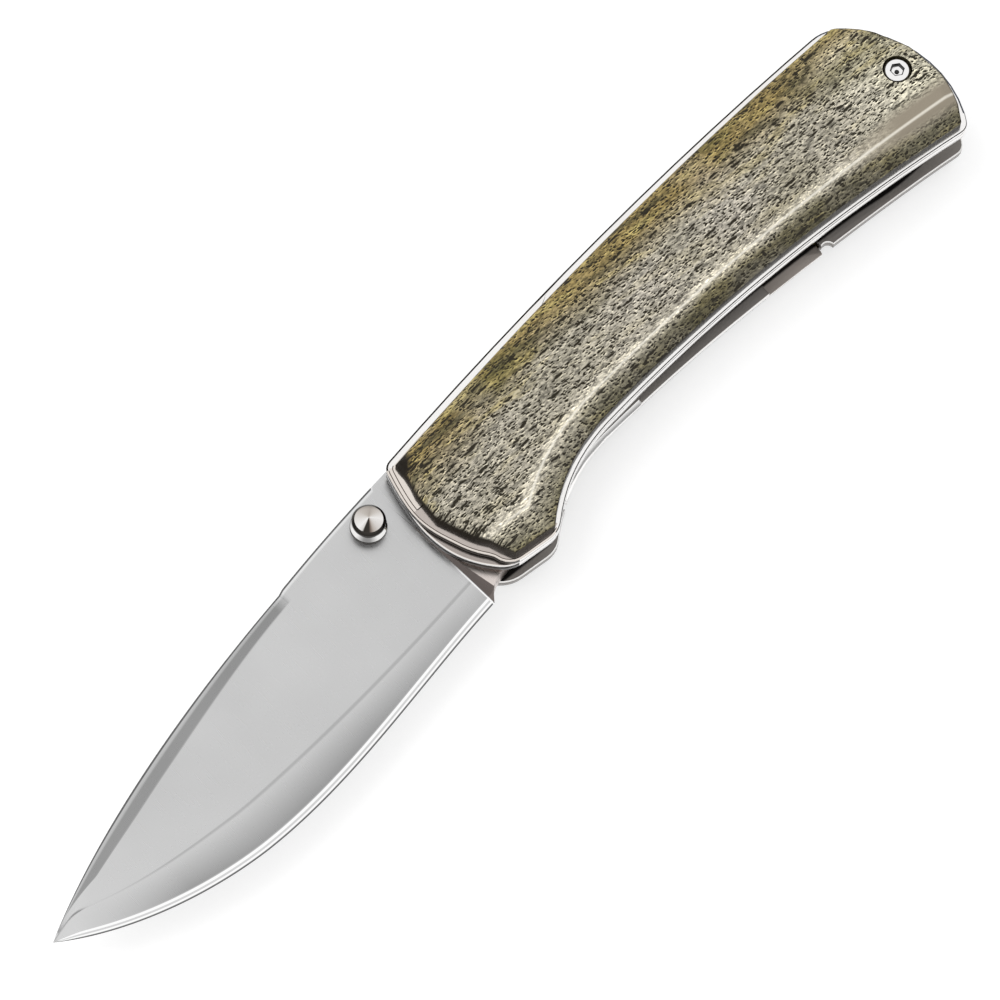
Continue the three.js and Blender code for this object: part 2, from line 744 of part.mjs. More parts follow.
function makeStudNear() {
  const post = bladeThickness - 0.3;
  const profile = [...studHead(studHeight), [studPostRadius, faceGap], [studPostRadius, -post],
    [studThreadRadius, -post], [studThreadRadius, -post - 1.6], [0, -post - 1.6]];
  return turned(studPlace.x, studPlace.y, bladeTop, profile.reverse(), 36);
}

function makeStudFar() {
  const bore = studThreadRadius + boreGap;
  const head = studHead(studHeight);
  const profile = [...head, [bore, faceGap], [bore, 2.1], [0, 2.1]];
  return turnedDown(studPlace.x, studPlace.y, bladeBottom, profile.reverse(), 36);
}

// Pivot barrel from the far side, and the screw that closes it from the near side.
function makePivotBarrel() {
  const low = farScaleTop - pivotHeadHeight;
  const top = nearFrameTop - faceGap;
  const bore = pivotScrewRadius + boreGap;
  const boreFloor = bladeBottom;
  const profile = [[0, low], [pivotHeadRadius, low], [pivotHeadRadius, farScaleTop],
    [barrelRadius, farScaleTop], [barrelRadius, top], [bore, top], [bore, boreFloor],
    [0, boreFloor]];
  return turned(0, 0, 0, profile, 40);
}

function makePivotScrew() {
  const top = nearFrameTop + pivotHeadHeight;
  const low = bladeBottom + 1;
  const profile = [[0, low], [pivotScrewRadius, low], [pivotScrewRadius, nearFrameTop],
    [pivotHeadRadius, nearFrameTop], [pivotHeadRadius, top - 0.25], [pivotHeadRadius - 0.25, top],
    [0, top]];
  return cut(turned(0, 0, 0, profile, 40), socket(0, 0, top, -1, pivotSocketRadius));
}

// A hexagonal socket in a face at z, going in the given direction, with a drill point.
function socket(x, y, z, towards, radius) {
  const profile = [[0, -1], [radius, -1], [radius, socketDepth], [0, socketDepth]];
  const place = towards > 0 ? turned : turnedDown;
  const point = [[0, 0], [radius * 0.45, 0], [radius * 0.45, socketDepth], [0, socketDepth + 0.3]];
  return place(x, y, z, profile, 6).add(place(x, y, z, point, 12));
}

function makeWasher(low) {
  const ring = disc(0, 0, washerRadius, low + faceGap, low + washerThickness - faceGap, 40);
  return cut(ring, disc(0, 0, barrelRadius + boreGap, low - 1, low + 2, 40));
}

function makeStopPin() {
  return disc(stopPin.x, stopPin.y, stopPinRadius, farScaleTop + faceGap, nearFrameTop - faceGap);
}

// Standoffs: turned spacers, bored for a screw from each side.
function makeStandoff({ x, y, radius }, boreRadius) {
  const waist = radius * waistShare;
  const [low, high] = [farFrameTop, nearFrameBottom];
  const profile = [[0, low], [radius, low], [radius, low + 0.9], [waist, low + 1.3],
    [waist, high - 1.3], [radius, high - 0.9], [radius, high], [0, high]];
  const body = turned(x, y, 0, profile, 28);
  return cut(body, disc(x, y, boreRadius + boreGap, low - 1, high + 1, 24));
}

// Small countersunk screws. Their flat head lies at z, their shank runs to the end.
function makeSunkScrew({ x, y }, z, towards, length) {
  const profile = [[0, 0], [smallHeadRadius, 0], [smallScrewRadius, smallHeadHeight],
    [smallScrewRadius, length], [0, length]];
  const body = towards > 0 ? turned(x, y, z, profile, 24) : turnedDown(x, y, z, profile, 24);
  return cut(body, socket(x, y, z, towards, smallSocketRadius));
}

// The visible screws at the butt end, one on each side.
function makeButtScrew(towards) {
  const z = towards > 0 ? scaleThickness - buttBoreFloor : nearLinerTop + buttBoreFloor;
  const end = towards > 0 ? farFrameTop + buttScrewReach : nearFrameBottom - buttScrewReach;
  const length = Math.abs(end - z);
  const profile = [[0, -buttHeadHeight], [buttHeadRadius - 0.4, -buttHeadHeight],
    [buttHeadRadius, 0.35 - buttHeadHeight], [buttHeadRadius, 0], [buttScrewRadius, 0],
    [buttScrewRadius, length], [0, length]];
  const { x, y } = buttStandoff;
  const body = towards > 0 ? turned(x, y, z, profile, 32) : turnedDown(x, y, z, profile, 32);
  return cut(body, socket(x, y, z - towards * buttHeadHeight, towards, socketRadius));
}

// Bone scales: a crowned body over the inset outline. A broad flat bevel runs along the
// slot side up to a ridge, and the spine side is rolled over.
function scaleSides() {
  const sides = insetSides({
    front: (share) => scaleInset.front + scaleFrontHollow * frontHollow(share)
      + scaleCornerHollow * cornerHollow(share),
    spine: () => scaleInset.spine,
    butt: () => scaleInset.butt,
    slot: () => scaleInset.slot,
    bottom: () => scaleInset.bottom,
  });
  return {
    front: sides.front,
    spine: sides.spine,
    butt: [...sides.butt].reverse(),
    slot: [...[...sides.bottom].reverse(), ...[...sides.slot].reverse().slice(1)],
    bottomLength: lengthOf(sides.bottom),
  };
}

function lengthOf(line) {
  return line.slice(1).reduce((sum, point, i) => sum + point.distanceTo(line[i]), 0);
}

function pointOn(line, share) {
  let left = share * lengthOf(line);
  for (let i = 0; i < line.length - 1; i += 1) {
    const step = line[i].distanceTo(line[i + 1]);
    if (left <= step || i === line.length - 2) {
      return line[i].clone().lerp(line[i + 1], Math.min(left / step, 1));
    }
    left -= step;
  }
  return line.at(-1).clone();
}

// A patch that fills the four sides, with u along the handle and v across it.
function patchPoint({ front, spine, butt, slot }, u, v) {
  const [low, high] = [pointOn(slot, u), pointOn(spine, u)];
  const [left, right] = [pointOn(front, v), pointOn(butt, v)];
  const corner = (a, b, c, d) => a * (1 - u) * (1 - v) + b * u * (1 - v) + c * (1 - u) * v
    + d * u * v;
  const blend = (key) => low[key] * (1 - v) + high[key] * v + left[key] * (1 - u)
    + right[key] * u - corner(slot[0][key], slot.at(-1)[key], spine[0][key], spine.at(-1)[key]);
  return new THREE.Vector2(blend('x'), blend('y'));
}

function scaleHeight(u, v) {
  const slotEdge = lerp(frontEdgeHeight + choilEdgeGain, slotEdgeHeight, smoothstep(u, 0.02, 0.13));
  const bevel = lerp(slotEdge, ridgeHeight, Math.min(v / ridgeShare, 1));
  const past = smoothstep(v, ridgeShare, ridgeShare + 0.12);
  const slotSide = v < ridgeShare ? bevel : lerp(ridgeHeight, scaleThickness, past);
  const roll = Math.min((1 - v) / rollShare, 1);
  const spineSide = lerp(spineEdgeHeight, scaleThickness, Math.sqrt(1 - (1 - roll) ** 2));
  const nose = Math.min(u / noseShare, 1);
  const corner = noseCornerDrop * smoothstep(v, 0.6, 1);
  const frontSide = lerp(frontEdgeHeight - corner, scaleThickness, Math.sqrt(1 - (1 - nose) ** 2));
  const tail = Math.min((1 - u) / tailShare, 1);
  const buttSide = lerp(buttEdgeHeight, scaleThickness, tail);
  return Math.min(slotSide, spineSide, frontSide, buttSide);
}

function makeScaleBody() {
  const sides = scaleSides();
  const bottomShare = sides.bottomLength / lengthOf(sides.slot);
  const us = [0, 0.012, 0.026, 0.042, 0.06, bottomShare, 0.1, 0.125];
  for (let i = 0; i <= 24; i += 1) us.push(0.15 + (0.83 * i) / 24);
  us.push(0.99, 1);
  const vs = [0, 0.1, ridgeShare, 0.26, 0.32, 0.54, 0.76, 0.84, 0.91, 0.96, 0.985, 1];
  const rows = us.length;
  const columns = vs.length;
  const positions = [];
  for (const top of [true, false]) {
    us.forEach((u) => vs.forEach((v) => {
      const { x, y } = patchPoint(sides, u, v);
      positions.push(x, y, top ? scaleHeight(u, v) : 0);
    }));
  }
  const spot = (i, j, level) => level * rows * columns + i * columns + j;
  const faces = [];
  const quad = (a, b, c, d) => faces.push(a, b, c, a, c, d);
  for (let i = 0; i < rows - 1; i += 1) {
    for (let j = 0; j < columns - 1; j += 1) {
      quad(spot(i, j, 0), spot(i + 1, j, 0), spot(i + 1, j + 1, 0), spot(i, j + 1, 0));
      quad(spot(i, j, 1), spot(i, j + 1, 1), spot(i + 1, j + 1, 1), spot(i + 1, j, 1));
    }
  }
  for (let i = 0; i < rows - 1; i += 1) {
    quad(spot(i, 0, 1), spot(i + 1, 0, 1), spot(i + 1, 0, 0), spot(i, 0, 0));
    quad(spot(i + 1, columns - 1, 1), spot(i, columns - 1, 1), spot(i, columns - 1, 0),
      spot(i + 1, columns - 1, 0));
  }
  for (let j = 0; j < columns - 1; j += 1) {
    quad(spot(0, j + 1, 1), spot(0, j, 1), spot(0, j, 0), spot(0, j + 1, 0));
    quad(spot(rows - 1, j, 1), spot(rows - 1, j + 1, 1), spot(rows - 1, j + 1, 0),
      spot(rows - 1, j, 0));
  }
  return { positions, faces };
}

function makeScale(near) {
  const { positions, faces } = makeScaleBody();
  for (let k = 2; k < positions.length; k += 3) {
    positions[k] = near ? nearLinerTop + positions[k] : scaleThickness - positions[k];
  }
  const inner = near ? nearLinerTop : farScaleTop;
  const out = near ? 1 : -1;
  const span = (x, y, radius, from, to, sides) => disc(x, y, radius,
    Math.min(inner + out * from, inner + out * to), Math.max(inner + out * from, inner + out * to),
    sides);
  const { x, y } = buttStandoff;
  const holes = [
    span(x, y, buttScrewRadius + boreGap, -1, buttBoreFloor + 0.1, 24),
    span(x, y, buttBoreRadius, buttBoreFloor, scaleThickness + 1, 36),
  ];
  for (const place of Object.values(scaleScrews)) {
    holes.push(span(place.x, place.y, smallScrewRadius + boreGap, -1, smallScrewReach + cutGap, 20));
  }
  if (!near) holes.push(span(0, 0, pivotHeadRadius + cutGap, -1, pivotHeadHeight + cutGap, 36));
  return cut(closedMesh(positions, faces), ...holes);
}

// Finishes, seen on the object.
const bone = { color: 0x9a9474, roughness: 0.45, metalness: 0 };
const polished = { color: 0xc9c4bf, roughness: 0.22, metalness: 1 };
const satin = { color: 0xcccccc, roughness: 0.34, metalness: 1 };
const blackSteel = { color: 0x8c8c8c, roughness: 0.3, metalness: 1 };
const bronze = { color: 0xb88a52, roughness: 0.35, metalness: 1 };

const knife = new THREE.Group();

function add(name, body, finish) {
  const mesh = new THREE.Mesh(geometryOf(body), new THREE.MeshStandardMaterial(finish));
  mesh.name = name;
  knife.add(mesh);
}

add('blade', makeBlade(), satin);
add('thumb_stud_near', makeStudNear(), polished);
add('thumb_stud_far', makeStudFar(), polished);
add('near_frame', makeNearFrame(), polished);
add('near_liner', makeNearLiner(), polished);
add('near_scale', makeScale(true), bone);
add('far_frame', makeFarFrame(), polished);
add('lock_bar', cut(makeLockBar(), detentSphere(boreGap)), polished);
add('detent_ball', detentSphere(0), polished);
add('far_scale', makeScale(false), bone);
add('pivot_barrel', makePivotBarrel(), blackSteel);
add('pivot_screw', makePivotScrew(), blackSteel);
add('washer_near', makeWasher(bladeTop), bronze);
add('washer_far', makeWasher(farFrameTop), bronze);
add('stop_pin', makeStopPin(), polished);
add('standoff_butt', makeStandoff(buttStandoff, buttScrewRadius), polished);
add('butt_screw_near', makeButtScrew(-1), polished);
add('butt_screw_far', makeButtScrew(1), polished);
for (const [name, place] of Object.entries(standoffs)) {
  add(`standoff_${name}`, makeStandoff(place, smallScrewRadius), polished);
  const nearLength = nearLinerTop - nearFrameBottom + smallScrewReach;
  add(`standoff_screw_${name}_near`, makeSunkScrew(place, nearLinerTop - faceGap, -1, nearLength),
    blackSteel);
  const farLength = frameThickness + smallScrewReach;
  add(`standoff_screw_${name}_far`, makeSunkScrew(place, farScaleTop + faceGap, 1, farLength),
    blackSteel);
}
for (const [name, place] of Object.entries(scaleScrews)) {
  const nearLength = frameThickness + linerThickness + smallScrewReach;
  add(`scale_screw_${name}_near`, makeSunkScrew(place, nearFrameBottom + faceGap, 1, nearLength),
    blackSteel);
  const farLength = frameThickness + smallScrewReach;
  add(`scale_screw_${name}_far`, makeSunkScrew(place, farFrameTop - faceGap, -1, farLength),
    blackSteel);
}

export default knife;
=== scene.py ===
import math

import bmesh
import bpy
import numpy as np
from mathutils import Matrix, Vector


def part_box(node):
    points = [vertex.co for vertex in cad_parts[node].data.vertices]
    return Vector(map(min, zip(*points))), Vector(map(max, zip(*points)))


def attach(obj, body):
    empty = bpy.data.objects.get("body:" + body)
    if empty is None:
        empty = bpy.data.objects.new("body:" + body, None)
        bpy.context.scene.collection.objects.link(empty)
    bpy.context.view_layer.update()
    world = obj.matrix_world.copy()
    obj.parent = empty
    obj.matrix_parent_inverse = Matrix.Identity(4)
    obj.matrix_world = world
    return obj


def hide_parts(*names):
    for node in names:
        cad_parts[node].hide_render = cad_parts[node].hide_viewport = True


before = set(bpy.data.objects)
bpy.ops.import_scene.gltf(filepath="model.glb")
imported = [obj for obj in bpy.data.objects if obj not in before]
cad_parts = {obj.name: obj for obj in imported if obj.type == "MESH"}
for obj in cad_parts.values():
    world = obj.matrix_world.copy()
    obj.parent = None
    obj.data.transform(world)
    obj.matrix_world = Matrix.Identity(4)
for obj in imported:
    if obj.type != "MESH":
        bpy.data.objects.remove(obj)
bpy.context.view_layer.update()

# The two frames and the near liner. Stamped stainless steel plates, ground flat and
# polished, with their edges broken by tumbling. They are stacked and screwed together,
# and step back one behind the other at the front, where their edges carry painted shade.

MM = 0.001
WELD = 1e-6
FLAT = 0.999


def fed(tree, node, inputs):
    """Gives each of a node's inputs its value, or a link from an output."""
    for socket, value in inputs.items():
        if isinstance(value, bpy.types.NodeSocket):
            tree.links.new(value, node.inputs[socket])
        else:
            node.inputs[socket].default_value = value
    return node


def added(tree, kind, inputs=None, **settings):
    """A new node with its settings and inputs."""
    node = tree.nodes.new(kind)
    for name, value in settings.items():
        setattr(node, name, value)
    return fed(tree, node, inputs or {})


def on_piece(tree):
    """The Object coordinates of a piece."""
    return added(tree, "ShaderNodeTexCoord").outputs["Object"]


def noise(tree, vector, scale, detail=3.0, rough=0.6):
    return added(tree, "ShaderNodeTexNoise", {
        "Vector": vector, "Scale": scale, "Detail": detail, "Roughness": rough}).outputs


def mapped(tree, vector, scale=(1, 1, 1), turn=0, shift=(0, 0, 0)):
    return added(tree, "ShaderNodeMapping", {
        "Vector": vector, "Scale": scale, "Rotation": (0, 0, math.radians(turn)),
        "Location": shift}).outputs[0]


def steel_grain_group():
    """Fine parallel scratches of a brushed or tumbled surface, and a slow cloud."""
    group = bpy.data.node_groups.new("steel_grain", "ShaderNodeTree")
    for label, way, kind in (("Fineness", "INPUT", "NodeSocketFloat"),
                             ("Stretch", "INPUT", "NodeSocketVector"),
                             ("Cloud size", "INPUT", "NodeSocketFloat"),
                             ("Grain", "OUTPUT", "NodeSocketFloat"),
                             ("Cloud", "OUTPUT", "NodeSocketFloat")):
        group.interface.new_socket(label, in_out=way, socket_type=kind)
    given = added(group, "NodeGroupInput").outputs
    place = on_piece(group)
    stretched = mapped(group, place, given["Stretch"])
    added(group, "NodeGroupOutput", {
        "Grain": noise(group, stretched, given["Fineness"])["Fac"],
        "Cloud": noise(group, place, given["Cloud size"], 2, 0.5)["Fac"]})
    return group


STEEL_GRAIN = steel_grain_group()


def ranged(tree, value, low, high, start=0.3, end=0.7):
    """A map of a value between start and end onto low to high."""
    return added(tree, "ShaderNodeMapRange", {
        "Value": value, "From Min": start, "From Max": end, "To Min": low,
        "To Max": high}).outputs["Result"]


def mixed(tree, factor, one, two, blend="MIX"):
    """A colour mix. Each of one and two is an output or a fixed colour."""
    one, two = ((*side, 1) if isinstance(side, tuple) else side for side in (one, two))
    return added(tree, "ShaderNodeMix", {"A": one, "B": two, "Factor": factor},
                 data_type="RGBA", blend_type=blend).outputs["Result"]


def maths(tree, operation, one, two=0.0, three=0.0):
    return added(tree, "ShaderNodeMath", {0: one, 1: two, 2: three},
                 operation=operation).outputs[0]


def times(tree, one, two):
    return maths(tree, "MULTIPLY", one, two)


def split(tree, vector):
    return added(tree, "ShaderNodeSeparateXYZ", {0: vector}).outputs


def surface(name):
    """A new material, its node tree and its shader."""
    material = bpy.data.materials.new(name)
    material.use_nodes = True
    return material, material.node_tree, material.node_tree.nodes["Principled BSDF"]


def bumped(tree, shader, height, strength, depth):
    bump = added(tree, "ShaderNodeBump", {
        "Height": height, "Strength": strength, "Distance": depth * MM})
    fed(tree, shader, {"Normal": bump.outputs["Normal"]})


def steel(name, dark, light, rough, fineness=900, stretch=(0.08, 1, 1), depth=0.004, colour=None):
    """A metal whose colour and roughness wander a little, with fine scratches in its bump."""
    material, tree, shader = surface(name)
    grain = added(tree, "ShaderNodeGroup", {
        "Fineness": fineness, "Stretch": stretch, "Cloud size": 60}, node_tree=STEEL_GRAIN).outputs
    tint = mixed(tree, ranged(tree, grain["Cloud"], 0, 1), dark, light)
    sheen = ranged(tree, grain["Grain"], *rough)
    if colour:
        shade, dullness = colour(tree)
        tint = mixed(tree, 1.0, tint, shade, "MULTIPLY")
        sheen = maths(tree, "MAXIMUM", sheen, dullness)
    fed(tree, shader, {"Metallic": 1, "Base Color": tint, "Roughness": sheen})
    bumped(tree, shader, grain["Grain"], 1, depth)
    return material


def placed(name, data):
    """A new object in the scene."""
    thing = bpy.data.objects.new(name, data)
    bpy.context.scene.collection.objects.link(thing)
    return thing


def new_piece(name, mesh, body, node):
    piece = placed(name, mesh)
    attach(piece, body)
    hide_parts(node)


def paint(mesh, rule):
    """Stores a painted shade or highlight on the face corners, from each face's normal, centre in
    mm and band. The band is -1 round a hole. Inner faces, in painted shade, get no alpha."""
    shade = mesh.color_attributes.new("shade", "FLOAT_COLOR", "CORNER")
    last = len(mesh.materials) - 1
    for face in mesh.polygons:
        band = -1 if last > 0 and face.material_index == last else face.material_index
        colour = rule(face.normal, face.center / MM, band)
        face.material_index = 0
        for corner in face.loop_indices:
            shade.data[corner].color = (*colour, 0 if colour in (INNER_SHADE, MILLED_ROOT_SHADE) else 1)
    while len(mesh.materials) > 1:
        mesh.materials.pop()


# Painted shade on the inner faces in the blade slot, and a lighter painted shade on the lock bar's
# milled root. Both darken further into the slot.
INNER_SHADE = (0.30, 0.285, 0.27)
MILLED_ROOT_SHADE = (0.50, 0.46, 0.43)
FRONT_END = 6
FRONT_TURN = 3.5


def plain(normal, centre, band):
    return 1.0, 1.0, 1.0


def baked(piece):
    """The mesh of an object with its modifiers done."""
    bpy.context.view_layer.update()
    depsgraph = bpy.context.evaluated_depsgraph_get()
    mesh = bpy.data.meshes.new_from_object(piece.evaluated_get(depsgraph))
    bpy.data.objects.remove(piece)
    return mesh


def skin_of(mesh):
    """A mesh opened for editing."""
    skin = bmesh.new()
    skin.from_mesh(mesh)
    return skin


def written(skin, mesh):
    skin.to_mesh(mesh)
    skin.free()
    return mesh


def rims(mesh, height, up):
    """The edge loops of the flat faces at a height, each as (x, y) points in mm, longest first."""
    skin = skin_of(mesh)
    bmesh.ops.remove_doubles(skin, verts=skin.verts, dist=WELD)
    flat = [face for face in skin.faces if face.normal.z * up > FLAT
            and abs(face.calc_center_median().z / MM - height) < 0.003]
    inside = set(flat)
    follow = {}
    for face in flat:
        for loop in face.loops:
            if not any(other in inside for other in loop.edge.link_faces if other is not face):
                follow[loop.vert] = loop.link_loop_next.vert
    loops = []
    while follow:
        start = next(iter(follow))
        chain = [start]
        while follow.get(chain[-1]) not in (None, start):
            chain.append(follow[chain[-1]])
        for vert in chain:
            follow.pop(vert, None)
        loops.append(np.array([(v.co.x / MM, v.co.y / MM) for v in chain]))
    skin.free()
    return sorted(loops, key=len_of, reverse=True)


def len_of(loop):
    return float(np.linalg.norm(loop - np.roll(loop, 1, axis=0), axis=1).sum())


def off_loop(loop, place):
    """The least distance from a place to the sides of a loop, in mm."""
    ends = np.roll(loop, -1, axis=0)
    side = ends - loop
    share = ((place - loop) * side).sum(1) / np.maximum((side ** 2).sum(1), 1e-12)
    foot = loop + np.clip(share, 0, 1)[:, None] * side
    return float(np.hypot(*(foot - place).T).min())


def machined(node, name, body, material, edge_round, rule=plain, bands=()):
    """The CAD node as one welded skin with its edges broken by a small round. Bands of the
    given widths are marked off along the rim of its upper face, the outermost as 1."""
    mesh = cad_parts[node].data.copy()
    mesh.materials.clear()
    for _ in range(len(bands) + 2 if bands else 1):
        mesh.materials.append(material)
    skin = skin_of(mesh)
    bmesh.ops.remove_doubles(skin, verts=skin.verts, dist=WELD)
    bmesh.ops.dissolve_limit(skin, angle_limit=math.radians(0.5), verts=skin.verts,
                             edges=skin.edges)
    for face in skin.faces:
        face.smooth = True
        face.material_index = 0
    top = max(vert.co.z for vert in skin.verts)
    rim = rims(mesh, top / MM, 1)[0] if bands else None
    if bands:
        for axis in ((1, 0, 0), (0, 1, 0)):
            bmesh.ops.bisect_plane(skin, geom=skin.verts[:] + skin.edges[:] + skin.faces[:],
                                   plane_co=(FRONT_END * MM, FRONT_TURN * MM, 0), plane_no=axis)
        flat = [face for face in skin.faces if face.normal.z > FLAT]
        bmesh.ops.triangulate(skin, faces=flat)
    done = set()
    for band, width in enumerate(bands, 1):
        inner = [face for face in skin.faces if face not in done and face.normal.z > FLAT
                 and face.calc_center_median().z > top - 0.01 * MM
                 and (band == 1 or face.calc_center_median().x < FRONT_END * MM)
                 and (band < 3 or face.calc_center_median().y > FRONT_TURN * MM)]
        ring = bmesh.ops.inset_region(skin, faces=inner, thickness=width * MM,
                                      use_even_offset=False, use_boundary=True)
        done.update(ring["faces"])
        for face in ring["faces"]:
            place = np.array(face.calc_center_median()[:2]) / MM
            outer = off_loop(rim, place) < sum(bands[:band])
            face.material_index = band if outer else len(bands) + 1
    blank = placed(name, written(skin, mesh))
    bevel = blank.modifiers.new("broken_edges", "BEVEL")
    bevel.width = edge_round
    bevel.segments = 2
    bevel.limit_method = "ANGLE"
    bevel.angle_limit = math.radians(32)
    bevel.use_clamp_overlap = False
    bevel.harden_normals = True
    whole = baked(blank)
    whole.name = name
    paint(whole, rule)
    new_piece(name, whole, body, node)


def slot_side(x):
    """The height of the near plates' edge along the blade slot, in mm."""
    loop = rims(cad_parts["near_frame"].data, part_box("near_frame")[1].z / MM, 1)[0]
    lower = loop[loop[:, 1] < 8]
    order = np.argsort(lower[:, 0])
    return float(np.interp(x, lower[order, 0], lower[order, 1]))


SLOT_RUN = (3, 105)
SLOT_LEVELS = (-20, 10)


def painted(tree):
    """The painted shade stored on the faces. Inner faces, with no alpha, darken in painted shade
    into the slot.
    """
    shade = added(tree, "ShaderNodeAttribute", attribute_name="shade").outputs
    x, y, _ = split(tree, on_piece(tree))
    (start, end), (low, high) = SLOT_RUN, SLOT_LEVELS
    line = added(tree, "ShaderNodeFloatCurve", {
        "Value": ranged(tree, x, 0, 1, start * MM, end * MM)})
    points = line.mapping.curves[0].points
    for k in range(9):
        share = k / 8
        place = share, (slot_side(start + (end - start) * share) - low) / (high - low)
        if k in (0, 8):
            points[0 if k == 0 else -1].location = place
        else:
            points.new(*place)
    line.mapping.update()
    edge = ranged(tree, line.outputs["Value"], low * MM, high * MM, 0, 1)
    # Painted shade: inner faces turn dark where they pass in under the near plates' slot edge.
    slot_shade = ranged(tree, maths(tree, "SUBTRACT", y, edge), 1.0, 0.04, 0.95 * MM, 1.3 * MM)
    lit = maths(tree, "MAXIMUM", shade["Alpha"], slot_shade)
    dullness = ranged(tree, shade["Alpha"], 0.65, 0)
    return mixed(tree, lit, (0.0, 0.0, 0.0), shade["Color"]), dullness


POLISHED_STEEL = steel("polished_steel", (0.88, 0.86, 0.84), (0.94, 0.93, 0.92), (0.12, 0.2),
                       colour=painted)

# Painted shades on the polished plates: FRONT_STEP a shaded band on the front steps, DARK_EDGE
# painted shade on dark rims and walls, CREAM a painted highlight along edges, BRIGHT no shade,
# MIDWAY painted shade under the bone's edge.
FRONT_STEP = (0.42, 0.38, 0.36)
DARK_EDGE = (0.03, 0.028, 0.025)
CREAM = (0.86, 0.81, 0.76)
BRIGHT = (1.0, 1.0, 1.0)
MIDWAY = (0.58, 0.53, 0.50)


def at_front(centre):
    return centre.x < 3 and centre.y < 12.2 and centre.y < 9 - 3 * (centre.x + 2)


def liner_shade(normal, centre, band):
    """A painted dark rim of shade along the spine, a slate one round the butt, and stepped lines
    of painted shade and painted highlight at the front."""
    if normal.z < 0.3:
        return DARK_EDGE if normal.x < -0.25 and at_front(centre) else BRIGHT
    line = (0.10, 0.08, 0.07)
    if at_front(centre):
        shades = ((CREAM, CREAM, line, CREAM, line) if centre.y > FRONT_TURN + 0.7
                  else (MIDWAY, CREAM, line, MIDWAY, MIDWAY))
        return CREAM if normal.z < 0.98 else shades[band]
    # Painted shade: a slate rim round the butt, and a dark rim along the spine.
    if centre.x > 96 and centre.y > 0 and (band == 1 or normal.z < 0.98):
        return 0.09, 0.10, 0.12
    if centre.y > 0.16 * centre.x + 10 and (band == 1 or normal.z < 0.98):
        return DARK_EDGE
    return DARK_EDGE if normal.z < 0.98 else BRIGHT


def frame_shade(normal, centre, band):
    """The step below: a band of painted shade with a painted highlight on its rim at the front,
    painted shade along the spine, and white walls.
    """
    if normal.z < 0.3:
        return DARK_EDGE if normal.x < -0.25 and at_front(centre) else BRIGHT
    if at_front(centre):
        return (CREAM if band == 1 else FRONT_STEP) if normal.z > 0.98 else BRIGHT
    return DARK_EDGE if centre.y > 0.16 * centre.x + 10 else BRIGHT


def far_shade(normal, centre, band):
    """Rougher and in painted shade inside, where the blade slides past, with a bright rim and
    painted shade on its lower wall.
    """
    if normal.z > 0.95 and centre.x > -12:
        return INNER_SHADE
    if abs(normal.z) < 0.3:
        return 0.30, 0.29, 0.28
    return BRIGHT


machined("far_frame", "far_frame_plate", "handle", POLISHED_STEEL, 0.18 * MM,
         far_shade)
machined("near_frame", "near_frame_plate", "handle", POLISHED_STEEL, 0.16 * MM,
         frame_shade, (0.3,))
machined("near_liner", "near_liner_plate", "handle", POLISHED_STEEL, 0.14 * MM,
         liner_shade, (0.32, 0.15, 0.5, 0.15))

# The lock bar with its detent ball. A leaf of the far frame's own steel, milled thin at
# its root and bent inwards, with a hardened ball pressed in near its tip.


def bar_shade(normal, centre, band):
    """Rougher and in painted shade on its inner face, polished on the thumb bevel, and in a lighter
    painted shade at its thin root.
    """
    if normal.z > 0.9:
        return MILLED_ROOT_SHADE if centre.x > 60.2 else INNER_SHADE
    return BRIGHT


machined("lock_bar", "lock_bar_leaf", "lock", POLISHED_STEEL, 0.10 * MM,
         bar_shade)
machined("detent_ball", "detent_ball_pressed", "lock", POLISHED_STEEL, 0.02 * MM)

# The pivot: a turned barrel, the screw that closes it, and two phosphor bronze washers on
# which the blade runs. All of them are hidden under the scales.

PLAIN_STEEL = steel("plain_steel", (0.22, 0.22, 0.22), (0.32, 0.32, 0.32), (0.25, 0.4))
BRONZE = steel("phosphor_bronze", (0.42, 0.24, 0.10), (0.52, 0.31, 0.14), (0.25, 0.4))

machined("pivot_barrel", "pivot_barrel_turned", "handle", PLAIN_STEEL, 0.08 * MM)
machined("pivot_screw", "pivot_screw_turned", "handle", PLAIN_STEEL, 0.08 * MM)
machined("washer_near", "washer_near_ring", "handle", BRONZE, 0.05 * MM)
machined("washer_far", "washer_far_ring", "handle", BRONZE, 0.05 * MM)

# The blade: ground from one bar of steel and satin finished, with a hollow ground face, a
# lower bevel darkened by painted shade, a honed edge with a painted highlight, a swedge along
# the front of the spine and a plunge whose wall rises to the flat tang. The tang follows the CAD
# outline.

HEEL = np.array([-11.4, -14.95])
TIP = np.array([-102.3, -13.7])
BELLY = np.array([-66.5, -23.8])
SWEDGE_START = np.array([-36.5, 8.35])
SPINE_FRONT = np.array([-1.27, 14.5])
SHOULDER = np.array([-1.08, -10.6])
PLUNGE_LEAN = 0.1
SWEDGE_DEPTH = 0.95
SWEDGE_RUN_OUT = 0.9
SPINE_TIP_HALF = 0.45
GRIND_HALF = 0.8
BEVEL_HALF = 0.38
EDGE_HALF = 0.03
BEVEL_WIDTH = 1.3
BLADE_LOW, BLADE_HIGH = (corner.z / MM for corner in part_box("blade"))
BLADE_MIDDLE = (BLADE_LOW + BLADE_HIGH) / 2
HALF_THICK = (BLADE_HIGH - BLADE_LOW) / 2
PLUNGE_FOOT = HEEL[0] - 0.1
TANG_START = PLUNGE_FOOT + HALF_THICK + 0.05
REACH = PLUNGE_FOOT - TIP[0]
FACE_LINES = (0, 0.08, 0.16, 0.24, 0.32, 0.4, 0.48, 0.56, 0.64, 0.72, 0.79, 0.86, 0.93)
GRIND_K = len(FACE_LINES) + 1


